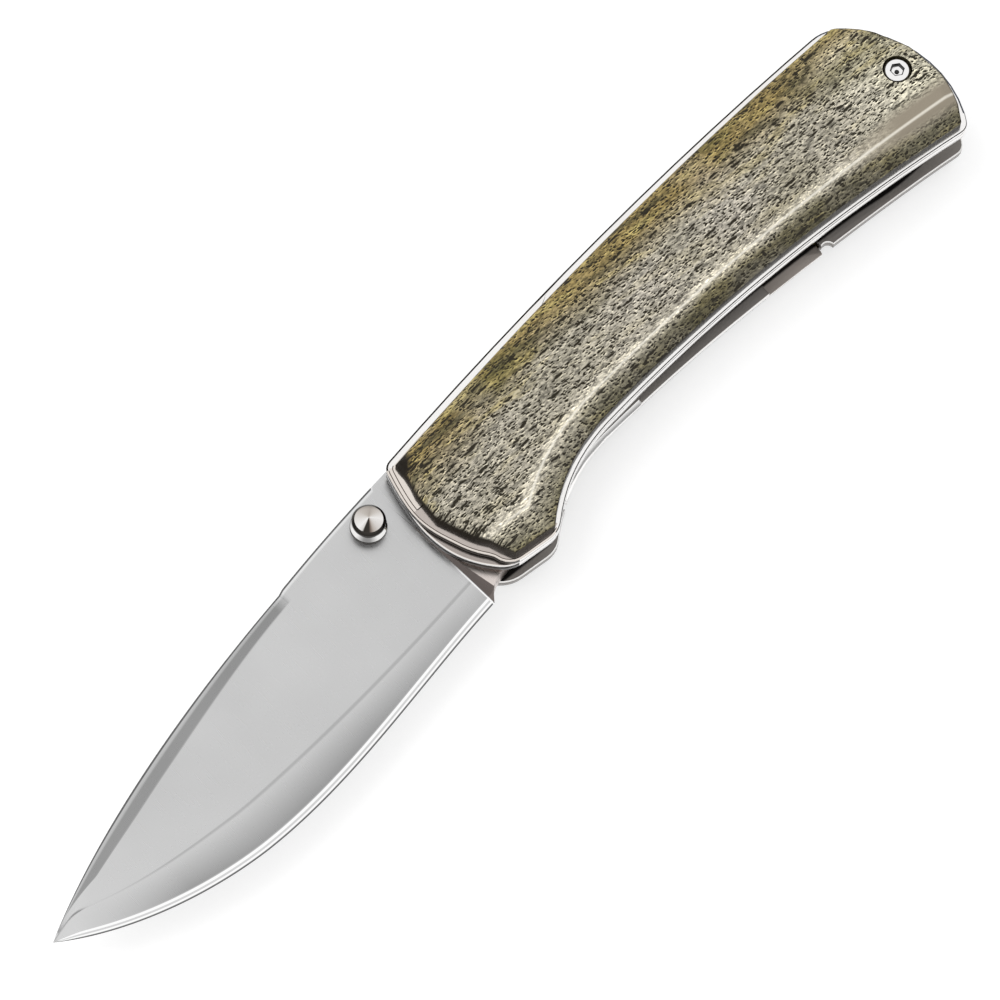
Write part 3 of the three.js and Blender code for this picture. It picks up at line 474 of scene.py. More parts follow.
def bezier(points, count):
    """Points on a Bezier curve of any degree."""
    t = np.linspace(0, 1, count + 1)[:, None]
    rows = [np.array(p, float)[None, :] + 0 * t for p in points]
    while len(rows) > 1:
        rows = [a * (1 - t) + b * t for a, b in zip(rows, rows[1:])]
    return rows[0]


def smooth(value, low, high):
    t = np.clip((value - low) / (high - low), 0, 1)
    return t * t * (3 - 2 * t)


SPINE_LINE = np.vstack([
    bezier([SPINE_FRONT, (-19, 12.35), SWEDGE_START], 80),
    bezier([SWEDGE_START, (-54.3, 4.8), (-82.5, -2.3), TIP], 240)[1:],
])[::-1]
LOWER_LINE = np.vstack([
    bezier([SHOULDER, (-5, -12.2), (-9.4, -11), HEEL], 40),
    bezier([HEEL, (-30, -18), (-48, -23.85), BELLY], 160)[1:],
    bezier([BELLY, (-79.9, -23.6), (-93.4, -19.7), TIP], 200)[1:],
])[::-1]


def cross_x(base, lean, y):
    return base - lean * (y - HEEL[1])


def cross_y(line, base, lean):
    """Where a line across the blade, leaning towards the tip, meets an outline."""
    y = 0.0
    for _ in range(12):
        y = float(np.interp(cross_x(base, lean, y), line[:, 0], line[:, 1]))
    return y


def eased(one, two):
    """The smaller of two lengths, with a soft change from one to the other."""
    return (one ** -6 + two ** -6) ** (-1 / 6)


def blade_ring(base):
    """One closed section across the blade, and the finish coordinates of its points, which place
    the blade's painted shades and highlights.
    """
    share = max(0.0, PLUNGE_FOOT - base) / REACH
    past = max(0.0, base - PLUNGE_FOOT)
    lean = PLUNGE_LEAN * (1 - float(smooth(PLUNGE_FOOT - base, 0, 18)))
    top = cross_y(SPINE_LINE, base, lean)
    low = cross_y(LOWER_LINE, base, lean)
    foot = cross_y(LOWER_LINE, PLUNGE_FOOT, lean) if past else low
    height = top - foot
    wide = 2.35 + 0.85 * float(smooth(share, 0.3, 0.65)) - 1.3 * float(smooth(share, 0.72, 1))
    swedge_y = top - eased(wide, 0.2 * height)
    grind = 4.9 + 2.8 * float(smooth(share, 0, 0.55)) - 2.9 * float(smooth(share, 0.62, 1.05))
    grind_y = foot + eased(grind, 0.78 * height)
    bevel_y = foot + eased(BEVEL_WIDTH, 0.26 * height)
    swedge = float(np.clip((SWEDGE_FOOT - base) / SWEDGE_RUN_OUT, 0, 1))
    thinned = max(0.0, (share - 0.45) / 0.55) ** 1.6
    spine_half = HALF_THICK + (SPINE_TIP_HALF - HALF_THICK) * thinned
    thin = spine_half / HALF_THICK
    ys = [top, *[swedge_y + (grind_y - swedge_y) * d for d in FACE_LINES], grind_y,
          max(bevel_y, low + 0.1), low]
    halves = [spine_half - SWEDGE_DEPTH * thin * swedge,
              *[spine_half + (GRIND_HALF * thin - spine_half) * d ** 2.6 for d in FACE_LINES],
              GRIND_HALF * thin, BEVEL_HALF * (1 + thin) / 2, EDGE_HALF]
    halves = [min(h + past, HALF_THICK) for h in halves]
    finish = [0.0, *[0.2 + 0.55 * d for d in FACE_LINES], 0.75, 0.9, 1.0]
    near = [(cross_x(base, lean, y), y, BLADE_MIDDLE + h) for y, h in zip(ys, halves)]
    far = [(cross_x(base, lean, y), y, BLADE_MIDDLE - h) for y, h in zip(ys, halves)]
    return near + far[::-1], finish + finish[::-1]


def plunge_ring(share):
    """A line up the plunge wall: each point has gone a share of its own way up and back."""
    foot = blade_ring(PLUNGE_FOOT)[0]
    points = []
    for k, (_, _, z) in enumerate(foot):
        climb = HALF_THICK - abs(z - BLADE_MIDDLE)
        points.append(blade_ring(PLUNGE_FOOT + share * climb)[0][k])
    return points, blade_ring(PLUNGE_FOOT)[1]


SWEDGE_FOOT = SWEDGE_START[0] + PLUNGE_LEAN * (
    1 - float(smooth(PLUNGE_FOOT - SWEDGE_START[0], 0, 18))) * (SWEDGE_START[1] - HEEL[1])


def closed_ring(skin, points, z):
    """A row of vertices at one height with the edges of its loop."""
    row = [skin.verts.new((x * MM, y * MM, z * MM)) for x, y in points]
    return row, [skin.edges.new((a, b)) for a, b in zip(row, row[1:] + row[:1])]


def bored(skin, loop, low, high, floor=None):
    """The wall of a round hole between two heights, with a floor if it is blind."""
    bottom, low_edges = closed_ring(skin, loop, low if floor is None else floor)
    top, high_edges = closed_ring(skin, loop, high)
    for k in range(len(top)):
        n = (k + 1) % len(top)
        skin.faces.new((bottom[k], bottom[n], top[n], top[k]))
    if floor is not None:
        skin.faces.new(bottom)
        return None, high_edges
    return low_edges, high_edges


def smoothed(skin, degrees):
    """Smooth faces, with an edge kept sharp where it turns further than an angle."""
    for face in skin.faces:
        face.smooth = True
    for edge in skin.edges:
        if edge.is_manifold and edge.calc_face_angle() > math.radians(degrees):
            edge.smooth = False


def blade_mesh():
    bases = [PLUNGE_FOOT, PLUNGE_FOOT - 0.05, PLUNGE_FOOT - 0.3]
    bases += list(np.linspace(PLUNGE_FOOT - 0.8, PLUNGE_FOOT - 0.993 * REACH, 190))
    bases += list(np.linspace(SWEDGE_FOOT, SWEDGE_FOOT - SWEDGE_RUN_OUT, 5))
    bases = sorted(set(round(float(b), 5) for b in bases), reverse=True)
    skin = bmesh.new()
    finish = skin.loops.layers.uv.new("finish")
    marks = {}
    kinds = {}
    rings = []
    for base in bases:
        points, values = blade_ring(base)
        ring = [skin.verts.new(np.array(p) * MM) for p in points]
        rings.append(ring)
        marks.update(zip(ring, values))
    size = len(rings[0])
    for share in (0.25, 0.5, 0.75, 1):
        points, values = plunge_ring(share)
        ring = []
        for k, point in enumerate(points):
            still = HALF_THICK - abs(rings[0][k].co.z / MM - BLADE_MIDDLE) < 0.001
            ring.append(rings[0][k] if still else skin.verts.new(np.array(point) * MM))
        rings.insert(0, ring)
        marks.update(zip(ring, values))
    for row, (one, two) in enumerate(zip(rings, rings[1:])):
        for k in range(size):
            n = (k + 1) % size
            corners = [one[k], one[n], two[n], two[k]]
            corners = list(dict.fromkeys(corners))
            if len(corners) > 2:
                face = skin.faces.new(corners)
                low = min(marks[v] for v in corners) > 0.42
                kinds[face] = 1.0 if row < 4 else 0.5 if row == 5 and low else 0.0
    point = skin.verts.new(Vector((*TIP, BLADE_MIDDLE)) * MM)
    marks[point] = 0.85
    for k in range(size):
        kinds[skin.faces.new((rings[-1][k], rings[-1][(k + 1) % size], point))] = 0.0

    half = size // 2
    blade_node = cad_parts["blade"].data
    outer, *holes = rims(blade_node, BLADE_HIGH, 1)
    bases_of = outer[:, 0] + PLUNGE_LEAN * (outer[:, 1] - HEEL[1])
    kept = bases_of > TANG_START + 0.05
    first = next(k for k in range(len(outer)) if kept[k] and not kept[k - 1])
    run = [outer[(first + k) % len(outer)] for k in range(int(kept.sum()))]
    if run[0][1] < run[-1][1]:
        run = run[::-1]
    near_run = [skin.verts.new((x * MM, y * MM, BLADE_HIGH * MM)) for x, y in run]
    far_run = [skin.verts.new((x * MM, y * MM, BLADE_LOW * MM)) for x, y in run]
    near_row = rings[0][:half]
    far_row = rings[0][half:][::-1]
    near_loop = [*near_run, *near_row[::-1]]
    far_loop = [*far_run, *far_row[::-1]]
    for k in range(len(near_run) - 1):
        skin.faces.new((near_run[k], near_run[k + 1], far_run[k + 1], far_run[k]))
    skin.faces.new((near_run[-1], near_row[-1], far_row[-1], far_run[-1]))
    skin.faces.new((near_row[0], near_run[0], far_run[0], far_row[0]))
    ends = {"near": [], "far": []}
    for label, loop in (("near", near_loop), ("far", far_loop)):
        for a, b in zip(loop, loop[1:] + loop[:1]):
            ends[label].append(skin.edges.get((a, b)) or skin.edges.new((a, b)))
    far_holes = rims(blade_node, BLADE_LOW, -1)[1:]
    for hole in far_holes:
        through = any(np.linalg.norm(hole.mean(0) - other.mean(0)) < 0.2 for other in holes)
        floor = None if through else BLADE_LOW + 0.6
        low_edges, high_edges = bored(skin, hole, BLADE_LOW, BLADE_HIGH if through else BLADE_LOW,
                                      floor)
        if through:
            ends["near"] += high_edges
            ends["far"] += low_edges
        else:
            ends["far"] += high_edges
    for label in ("near", "far"):
        bmesh.ops.triangle_fill(skin, use_beauty=True, edges=ends[label])
    bmesh.ops.recalc_face_normals(skin, faces=skin.faces)
    # The finish map places the painted shades and highlights: u gives the kind of face, v the place
    # across the section.
    for face in skin.faces:
        wall = abs(face.normal.z) < 0.4
        for loop in face.loops:
            loop[finish].uv = kinds.get(face, -1.0), 0.3 if wall else marks.get(loop.vert, 0.45)
    smoothed(skin, 28)
    lines = [0, 1, GRIND_K, GRIND_K + 1, GRIND_K + 2]
    for one, two in zip(rings, rings[1:]):
        for k in [*lines, *[size - 1 - k for k in lines]]:
            if one[k] is not two[k]:
                skin.edges.get((one[k], two[k])).smooth = False
    mesh = bpy.data.meshes.new("blade_ground")
    return written(skin, mesh)


def ramp_of(tree, value, stops):
    """A colour ramp with linear colours given as (place, r, g, b) or greys as (place, grey)."""
    ramp = added(tree, "ShaderNodeValToRGB", {0: value})
    while len(ramp.color_ramp.elements) < len(stops):
        ramp.color_ramp.elements.new(0.5)
    for element, (place, *colour) in zip(ramp.color_ramp.elements, stops):
        element.position = place
        element.color = (*(colour if len(colour) == 3 else colour * 3), 1)
    return ramp.outputs["Color"]


def own_map(tree, name):
    return split(tree, added(tree, "ShaderNodeUVMap", uv_map=name).outputs[0])


def blade_light_and_shade(tree):
    """Painted reflection, shade and highlights on the steel: grey swedge, light face, lower bevel
    darkening to a bright edge; plunge and tang.
    """
    kind, down, _ = own_map(tree, "finish")
    x, y, _ = split(tree, on_piece(tree))
    # Painted reflection across the section: dark outlines at spine and edge, a grey swedge, a dark
    # grind line, painted shade down the lower bevel and painted highlights on the edge.
    tones = ramp_of(tree, down, [
        (0.0, 0.22), (0.020, 0.24), (0.026, 0.95), (0.055, 0.85), (0.075, 0.55),
        (0.185, 0.55), (0.2, 0.72), (0.205, 1.0), (0.735, 0.99), (0.742, 0.76),
        (0.750, 0.76), (0.757, 1.0), (0.80, 0.86), (0.897, 0.56), (0.902, 1.75),
        (0.928, 1.75), (0.934, 1.1), (0.953, 1.1), (0.959, 1.75), (0.977, 1.75), (0.983, 0.24)])
    # Painted light: the lower bevel lighter towards the heel.
    near_heel = ranged(tree, x, 0, 0.5, -42 * MM, -14 * MM)
    below_grind = ranged(tree, down, 0, 1, 0.750, 0.757)
    over_edge = ranged(tree, down, 1, 0, 0.897, 0.902)
    lighter = times(tree, near_heel, times(tree, below_grind, over_edge))
    ground = mixed(tree, lighter, tones, (1.0, 1.0, 1.0))
    # Painted light: the face lighter towards the tip, where the swedge's grey also narrows.
    by_tip = ranged(tree, x, 1, 0, -98 * MM, -80 * MM)
    flat = times(tree, over_edge, ranged(tree, down, 0, 1, 0.195, 0.205))
    ground = mixed(tree, times(tree, by_tip, flat), ground, (1.1, 1.1, 1.1))
    start = ranged(tree, x, 0.03, 0.2, -99.5 * MM, -90 * MM)
    past = ranged(tree, maths(tree, "SUBTRACT", down, start), 0, 1, 0, 0.012)
    narrowed = times(tree, past, ranged(tree, down, 1, 0, 0.200, 0.206))
    ground = mixed(tree, narrowed, ground, (1.1, 1.1, 1.1))
    # Painted outline and highlight along the unground spine by the handle.
    unground = times(tree, ranged(tree, x, 0, 1, -39.4 * MM, -37.0 * MM),
                     ranged(tree, down, 1, 0, 0.205, 0.215))
    back = ramp_of(tree, down, [
        (0.0, 0.2), (0.022, 0.22), (0.030, 1.35), (0.05, 1.3), (0.075, 1.0)])
    ground = mixed(tree, unground, ground, back)
    # Painted warm highlight on the lower tang, a painted highlight along the plunge's top line and
    # painted shade in the plunge.
    low = ranged(tree, y, 1, 0, -7 * MM, 0 * MM)
    on_tang = ranged(tree, kind, 1, 0, -1, 0)
    tang = mixed(tree, times(tree, on_tang, low), ground, (1.22, 1.10, 1.04))
    lined = mixed(tree, ranged(tree, kind, 0, 1, 0.3, 0.5), tang, (1.6, 1.6, 1.6))
    return mixed(tree, ranged(tree, kind, 0, 1, 0.55, 0.9), lined, (0.34, 0.29, 0.27)), 0.0


SATIN = steel("satin_blade_steel", (0.57, 0.57, 0.57), (0.61, 0.61, 0.61), (0.26, 0.34),
              fineness=5000, stretch=(1, 0.03, 1), depth=0.0002, colour=blade_light_and_shade)
blade_body = blade_mesh()
blade_body.materials.append(SATIN)
new_piece("blade_ground", blade_body, "blade", "blade")

# Turned steel: the two thumb studs, the three standoffs, the stop pin and the two
# butt screws. Each is turned from bar and has its edges broken with a small round.


def turned_tree(name, sizes, corners):
    """A lathe: each corner of the profile is a (radius, height) pair made of the named sizes."""
    tree = bpy.data.node_groups.new(name, "GeometryNodeTree")
    face = tree.interface
    face.new_socket("Geometry", in_out="INPUT", socket_type="NodeSocketGeometry")
    for label, value in sizes.items():
        socket = face.new_socket(label, in_out="INPUT", socket_type="NodeSocketFloat")
        socket.default_value = value * MM
    face.new_socket("Finish", in_out="INPUT", socket_type="NodeSocketMaterial")
    face.new_socket("Geometry", in_out="OUTPUT", socket_type="NodeSocketGeometry")
    given = added(tree, "NodeGroupInput").outputs

    def total(parts, sign):
        value = 0
        for label, share in parts.items():
            value = maths(tree, "MULTIPLY_ADD", given[label], share * sign, value)
        return value

    pick = added(tree, "GeometryNodeIndexSwitch", data_type="VECTOR")
    while len(pick.index_switch_items) < len(corners):
        pick.index_switch_items.new()
    fed(tree, pick, {0: added(tree, "GeometryNodeInputIndex").outputs[0]})
    for k, (radius, height) in enumerate(corners, 1):
        corner = added(tree, "ShaderNodeCombineXYZ", {"X": total(radius, 1),
                                                      "Y": total(height, -1)})
        fed(tree, pick, {k: corner.outputs[0]})
    row = added(tree, "GeometryNodeMeshLine", {"Count": len(corners)})
    put = added(tree, "GeometryNodeSetPosition", {"Geometry": row.outputs[0],
                                                  "Position": pick.outputs[0]})
    curve = added(tree, "GeometryNodeMeshToCurve", {0: put.outputs[0]})
    fillet = added(tree, "GeometryNodeFilletCurve", {
        "Curve": curve.outputs[0], "Count": 3, "Limit Radius": True,
        "Radius": given["Edge round"]}, mode="POLY")
    circle = added(tree, "GeometryNodeCurvePrimitiveCircle", {"Resolution": 96, "Radius": 1e-7})
    spin = added(tree, "GeometryNodeCurveToMesh", {"Curve": circle.outputs[0],
                                                   "Profile Curve": fillet.outputs[0]})
    weld = added(tree, "GeometryNodeMergeByDistance", {"Geometry": spin.outputs[0],
                                                       "Distance": WELD})
    real = added(tree, "GeometryNodeRealizeInstances", {"Geometry": weld.outputs[0]})
    finish = added(tree, "GeometryNodeSetMaterial", {"Geometry": real.outputs[0],
                                                     "Material": given["Finish"]})
    added(tree, "NodeGroupOutput", {0: finish.outputs[0]})
    return tree


def turned(tree, name, place, down, finish, rule, sizes=None):
    """The plain mesh that the lathe tree gives, stood at its place or turned to hang down."""
    blank = placed(name, bpy.data.meshes.new(name))
    lathe = blank.modifiers.new("lathe", "NODES")
    lathe.node_group = tree
    inputs = {item.name: item.identifier for item in tree.interface.items_tree
              if item.item_type == "SOCKET" and item.in_out == "INPUT"}
    for label, value in (sizes or {}).items():
        lathe[inputs[label]] = value * MM
    lathe[inputs["Finish"]] = finish
    mesh = baked(blank)
    turn = Matrix.Rotation(math.pi if down else 0, 4, "X")
    mesh.transform(Matrix.Translation(Vector(place) * MM) @ turn)
    skin = skin_of(mesh)
    bmesh.ops.recalc_face_normals(skin, faces=skin.faces)
    smoothed(skin, 40)
    written(skin, mesh).name = name
    paint(mesh, rule)
    return mesh


MIRROR_STEEL = steel("mirror_steel", (0.86, 0.85, 0.84), (0.92, 0.91, 0.90), (0.06, 0.10),
                     colour=painted)



def middle_of(node):
    low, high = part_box(node)
    return (low.x + high.x) / 2 / MM, (low.y + high.y) / 2 / MM


STUD_PLACE = middle_of("thumb_stud_near")
STUD_SIZES = {
    "Head radius": 2.8, "Total height": 4.0, "Cone depth": 0.85, "Rim chamfer": 0.45,
    "Rim height": 0.55, "Neck radius": 2.25, "Flange radius": 3.05, "Flange height": 0.55,
    "Post radius": 1.4, "Post depth": 3.5, "Edge round": 0.12,
}
stud_tree = turned_tree("thumb_stud", STUD_SIZES, [
    ({}, {"Total height": 1}),
    ({"Head radius": 1, "Rim chamfer": -1}, {"Total height": 1, "Cone depth": -1}),
    ({"Head radius": 1}, {"Total height": 1, "Cone depth": -1, "Rim chamfer": -1}),
    ({"Head radius": 1},
     {"Total height": 1, "Cone depth": -1, "Rim chamfer": -1, "Rim height": -1}),
    ({"Neck radius": 1},
     {"Total height": 1, "Cone depth": -1, "Rim chamfer": -2, "Rim height": -1}),
    ({"Neck radius": 1}, {"Flange height": 1.7}),
    ({"Flange radius": 1}, {"Flange height": 1}),
    ({"Flange radius": 1}, {}),
    ({"Post radius": 1}, {}),
    ({"Post radius": 1}, {"Post depth": -1}),
    ({}, {"Post depth": -1}),
])

# Painted reflection on the crown: a shade for each angle round the stud's axis, with a dark wedge.
CROWN_SHADES = {
    -180: (0.50, 0.46, 0.42), -130: (0.62, 0.58, 0.54), -80: (0.85, 0.83, 0.81), -40: (1, 1, 1),
    -22: (0.8, 0.78, 0.76), -16: (0.04, 0.035, 0.03), 8: (0.05, 0.045, 0.04),
    16: (0.25, 0.20, 0.17), 28: (0.55, 0.50, 0.46), 50: (0.75, 0.72, 0.70),
    100: (0.95, 0.94, 0.93), 140: (0.70, 0.66, 0.62), 180: (0.50, 0.46, 0.42)}


def stud_shade(normal, centre, band):
    """Crown turned to a shallow cone, with a painted reflection whose sheen fans out from a dark
    wedge; a painted reflection on the flange, bright but darker at its lowest; and painted shade on
    the rim, waist and lower edge."""
    if abs(normal.z) < 0.9:
        return 0.06, 0.055, 0.05
    off = centre.x - STUD_PLACE[0], centre.y - STUD_PLACE[1]
    turn = math.degrees(math.atan2(0.68 * off[0] - 0.73 * off[1], -0.73 * off[0] - 0.68 * off[1]))
    if max(centre.z - BLADE_HIGH, BLADE_LOW - centre.z) < STUD_SIZES["Total height"] / 2:
        grey = np.interp(abs(turn), (0, 12, 40), (0.30, 0.34, 1.0))
        return grey, grey, grey
    turns = sorted(CROWN_SHADES)
    return tuple(np.interp(turn, turns, [CROWN_SHADES[t][k] for t in turns]) for k in range(3))


for side, height, down, sizes in (("near", BLADE_HIGH, False, None),
                                  ("far", BLADE_LOW, True, {"Post depth": 0.2})):
    node = "thumb_stud_" + side
    stud = turned(stud_tree, node + "_turned", (*STUD_PLACE, height), down, MIRROR_STEEL,
                  stud_shade, sizes)
    new_piece(node + "_turned", stud, "blade", node)

for node in ("standoff_butt", "standoff_front", "standoff_middle", "stop_pin"):
    machined(node, node + "_turned", "handle", POLISHED_STEEL, 0.1 * MM)


def screw_shade(normal, centre, band):
    """Bright head with a ring of painted shade where the socket drops in."""
    reach = math.hypot(centre.x - BUTT_PLACE[0], centre.y - BUTT_PLACE[1])
    if reach < 1.6 and (abs(normal.z) < 0.9 or band == -1):
        return 0.04, 0.04, 0.04
    return BRIGHT


for node in ("butt_screw_near", "butt_screw_far"):
    BUTT_PLACE = middle_of(node)
    machined(node, node + "_turned", "handle", MIRROR_STEEL, 0.1 * MM,
             screw_shade, (0.2,))

# The small countersunk screws that hold the standoffs and the scales from inside.

for node in [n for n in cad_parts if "_screw_" in n and not n.startswith("butt")]:
    machined(node, node + "_turned", "handle", PLAIN_STEEL, 0.05 * MM)

# The two scales: slabs of stabilised bone, shaped on a belt to a crowned face with a broad
# polished bevel along the slot side, left pitted with open pores and screwed to the
# frames from inside. Their outline is taken from the flat back of the CAD scale. The far
# one's back is eased by 0.03 mm so the lock bar lies over it without rubbing.

FAR_BACK = 3.37
RIDGE_HEIGHT = 3.2
CROWN_HEIGHT = 3.4
BONE_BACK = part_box("near_scale")[0].z / MM


def nearest(loop, x, y):
    return int(np.argmin(np.hypot(loop[:, 0] - x, loop[:, 1] - y)))


def walk(loop, start, end):
    """The points of a loop from one index to another, in the loop's own sense."""
    count = (end - start) % len(loop)
    return loop[(start + np.arange(count + 1)) % len(loop)]


def resampled(side, shares):
    """Points at shares of the length of a side."""
    steps = np.r_[0, np.cumsum(np.linalg.norm(np.diff(side, axis=0), axis=1))]
    places = np.asarray(shares) * steps[-1]
    return np.stack([np.interp(places, steps, side[:, k]) for k in (0, 1)], 1)


def soft_min(a, b, blend=0.16):
    near = np.maximum(blend - np.abs(a - b), 0) / blend
    return np.minimum(a, b) - near * near * blend / 4


def bone_height(u, v):
    """Height of the crowned face over the back of the scale, in mm."""
    ridge = 0.18
    slot_edge = 1.5 + (0.9 - 1.5) * smooth(u, 0.02, 0.13)
    rise = np.clip(v / ridge, 0, 1)
    bevel = slot_edge + (RIDGE_HEIGHT - slot_edge) * (0.85 * rise + 0.15 * rise ** 2)
    past = smooth(v, ridge, ridge + 0.12)
    slot_side = np.where(v < ridge, bevel, RIDGE_HEIGHT + 0.2 * past)
    roll = np.clip((1 - v) / 0.24, 0, 1)
    spine_side = 0.9 + 2.5 * np.sqrt(1 - (1 - roll) ** 2)
    nose = np.clip(u / 0.06, 0, 1)
    front_edge = 1.5 - 0.6 * smooth(v, 0.6, 1)
    front_side = front_edge + (CROWN_HEIGHT - front_edge) * np.sqrt(1 - (1 - nose) ** 2)
    tail = np.clip((1 - u) / 0.02, 0, 1)
    butt_side = 2.5 + 0.9 * tail
    return soft_min(soft_min(slot_side, spine_side), soft_min(front_side, butt_side, 0.05))


def bone_grid():
    """The crowned face as a grid of points with its u and v, and the shares along u."""
    loop = rims(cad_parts["near_scale"].data, BONE_BACK, -1)[0]
    corners = [nearest(loop, x, y) for x, y in ((-5.4, -12.4), (-9.4, 11.8), (96, 25), (102, -2))]
    sides = [walk(loop, a, b) for a, b in zip(corners, corners[1:] + corners[:1])]
    front, spine, butt, slot = sides[0], sides[1], sides[2][::-1], sides[3][::-1]
    steps = np.r_[0, np.cumsum(np.linalg.norm(np.diff(slot, axis=0), axis=1))]
    turn = steps[nearest(slot, 3.0, -13.0)] / steps[-1]
    us = np.unique(np.round(np.r_[np.linspace(0, 0.06, 15), np.linspace(0.06, 0.98, 190),
                                  np.linspace(0.98, 1, 6), turn], 6))
    vs = np.unique(np.round(np.r_[np.linspace(0, 0.3, 22), np.linspace(0.3, 0.76, 18),
                                  np.linspace(0.76, 1, 20)], 6))
    low, high = resampled(slot, us)[:, None], resampled(spine, us)[:, None]
    left, right = resampled(front, vs)[None], resampled(butt, vs)[None]
    u, v = us[:, None, None], vs[None, :, None]
    flat = (low * (1 - v) + high * v + left * (1 - u) + right * u
            - slot[0] * (1 - u) * (1 - v) - slot[-1] * u * (1 - v)
            - spine[0] * (1 - u) * v - spine[-1] * u * v)
    height = bone_height(us[:, None], vs[None, :])
    return flat, height, us, vs


def bone_mesh(name, near):
    """One scale: crowned face, low walls and a flat back, with the patch shares as its UVs."""
    flat, height, us, vs = bone_grid()
    back = BONE_BACK if near else FAR_BACK
    out = 1 if near else -1
    skin = bmesh.new()
    patch = skin.loops.layers.uv.new("patch")
    wall = skin.loops.layers.uv.new("wall")
    walls = set()
    levels = []
    shares = {}
    last_u, last_v = len(us) - 1, len(vs) - 1
    for rise in (height, 0 * height):
        level = [[skin.verts.new((flat[i, j, 0] * MM, flat[i, j, 1] * MM,
                                  (back + out * rise[i, j]) * MM))
                  for j in range(last_v + 1)] for i in range(last_u + 1)]
        shares.update({level[i][j]: (us[i], vs[j])
                       for i in range(last_u + 1) for j in range(last_v + 1)})
        for i in range(last_u):
            for j in range(last_v):
                skin.faces.new((level[i][j], level[i + 1][j], level[i + 1][j + 1],
                                level[i][j + 1]))
        levels.append(level)
    around = [(i, 0) for i in range(last_u)] + [(last_u, j) for j in range(last_v)] \
        + [(i, last_v) for i in range(last_u, 0, -1)] + [(0, j) for j in range(last_v, 0, -1)]
    top, foot = ([level[i][j] for i, j in around] for level in levels)
    for k in range(len(around)):
        n = (k + 1) % len(around)
        walls.add(skin.faces.new((foot[k], foot[n], top[n], top[k])))
    bmesh.ops.recalc_face_normals(skin, faces=skin.faces)
    for face in skin.faces:
        face.smooth = True
        for loop in face.loops:
            loop[patch].uv = shares[loop.vert]
            loop[wall].uv = float(face in walls), 0.0
    return written(skin, bpy.data.meshes.new(name))


def drill(holes):
    """Closed cylinders, given as (x, y, radius, low, high) in mm, as one cutting object."""
    skin = bmesh.new()
    for x, y, radius, low, high in holes:
        place = Matrix.Translation(Vector((x, y, (low + high) / 2)) * MM)
        bmesh.ops.create_cone(skin, cap_ends=True, segments=72, radius1=radius * MM,
                              radius2=radius * MM, depth=(high - low) * MM, matrix=place)
    return placed("drill", written(skin, bpy.data.meshes.new("drill")))


def bone_scale(node, near, material):
    back = BONE_BACK if near else FAR_BACK
    out = 1 if near else -1
    side = "near" if near else "far"

    def hole(x, y, radius, start, end):
        heights = sorted((back + out * start, back + out * end))
        return x, y, radius, *heights

    butt = middle_of("butt_screw_" + side)
    holes = [hole(*butt, 1.37, -1, 1.5), hole(*butt, 2.5, 1.4, 5)]
    for name in ("scale_screw_front_", "scale_screw_rear_"):
        holes.append(hole(*middle_of(name + side), 0.87, -1, 2.2))
    if not near:
        holes.append(hole(0, 0, 4.5, -1, 1.25))
    mesh = bone_mesh(node + "_bone", near)
    mesh.materials.append(material)
    blank = placed(node + "_bone", mesh)
    tool = drill(holes)
    boring = blank.modifiers.new("boring", "BOOLEAN")
    boring.operation = "DIFFERENCE"
    boring.object = tool
    boring.solver = "MANIFOLD"
    body = baked(blank)
    bpy.data.objects.remove(tool)
    body.name = node + "_bone"
    skin = skin_of(body)
    smoothed(skin, 35)
    new_piece(node + "_bone", written(skin, body), "handle", node)


def pore_layer(tree, vector, scale, fewest, most):
    """Dark spots, one in a cell: some cells have a wide pore and some have none."""
    cells = added(tree, "ShaderNodeTexVoronoi", {"Vector": vector, "Scale": scale,
                                                 "Randomness": 0.9}, voronoi_dimensions="2D")
    chance = added(tree, "ShaderNodeSeparateColor", {0: cells.outputs["Color"]})
    radius = ranged(tree, chance.outputs[0], fewest, most, 0, 1)
    return ranged(tree, maths(tree, "SUBTRACT", radius, cells.outputs["Distance"]), 0, 1, 0.0, 0.12)


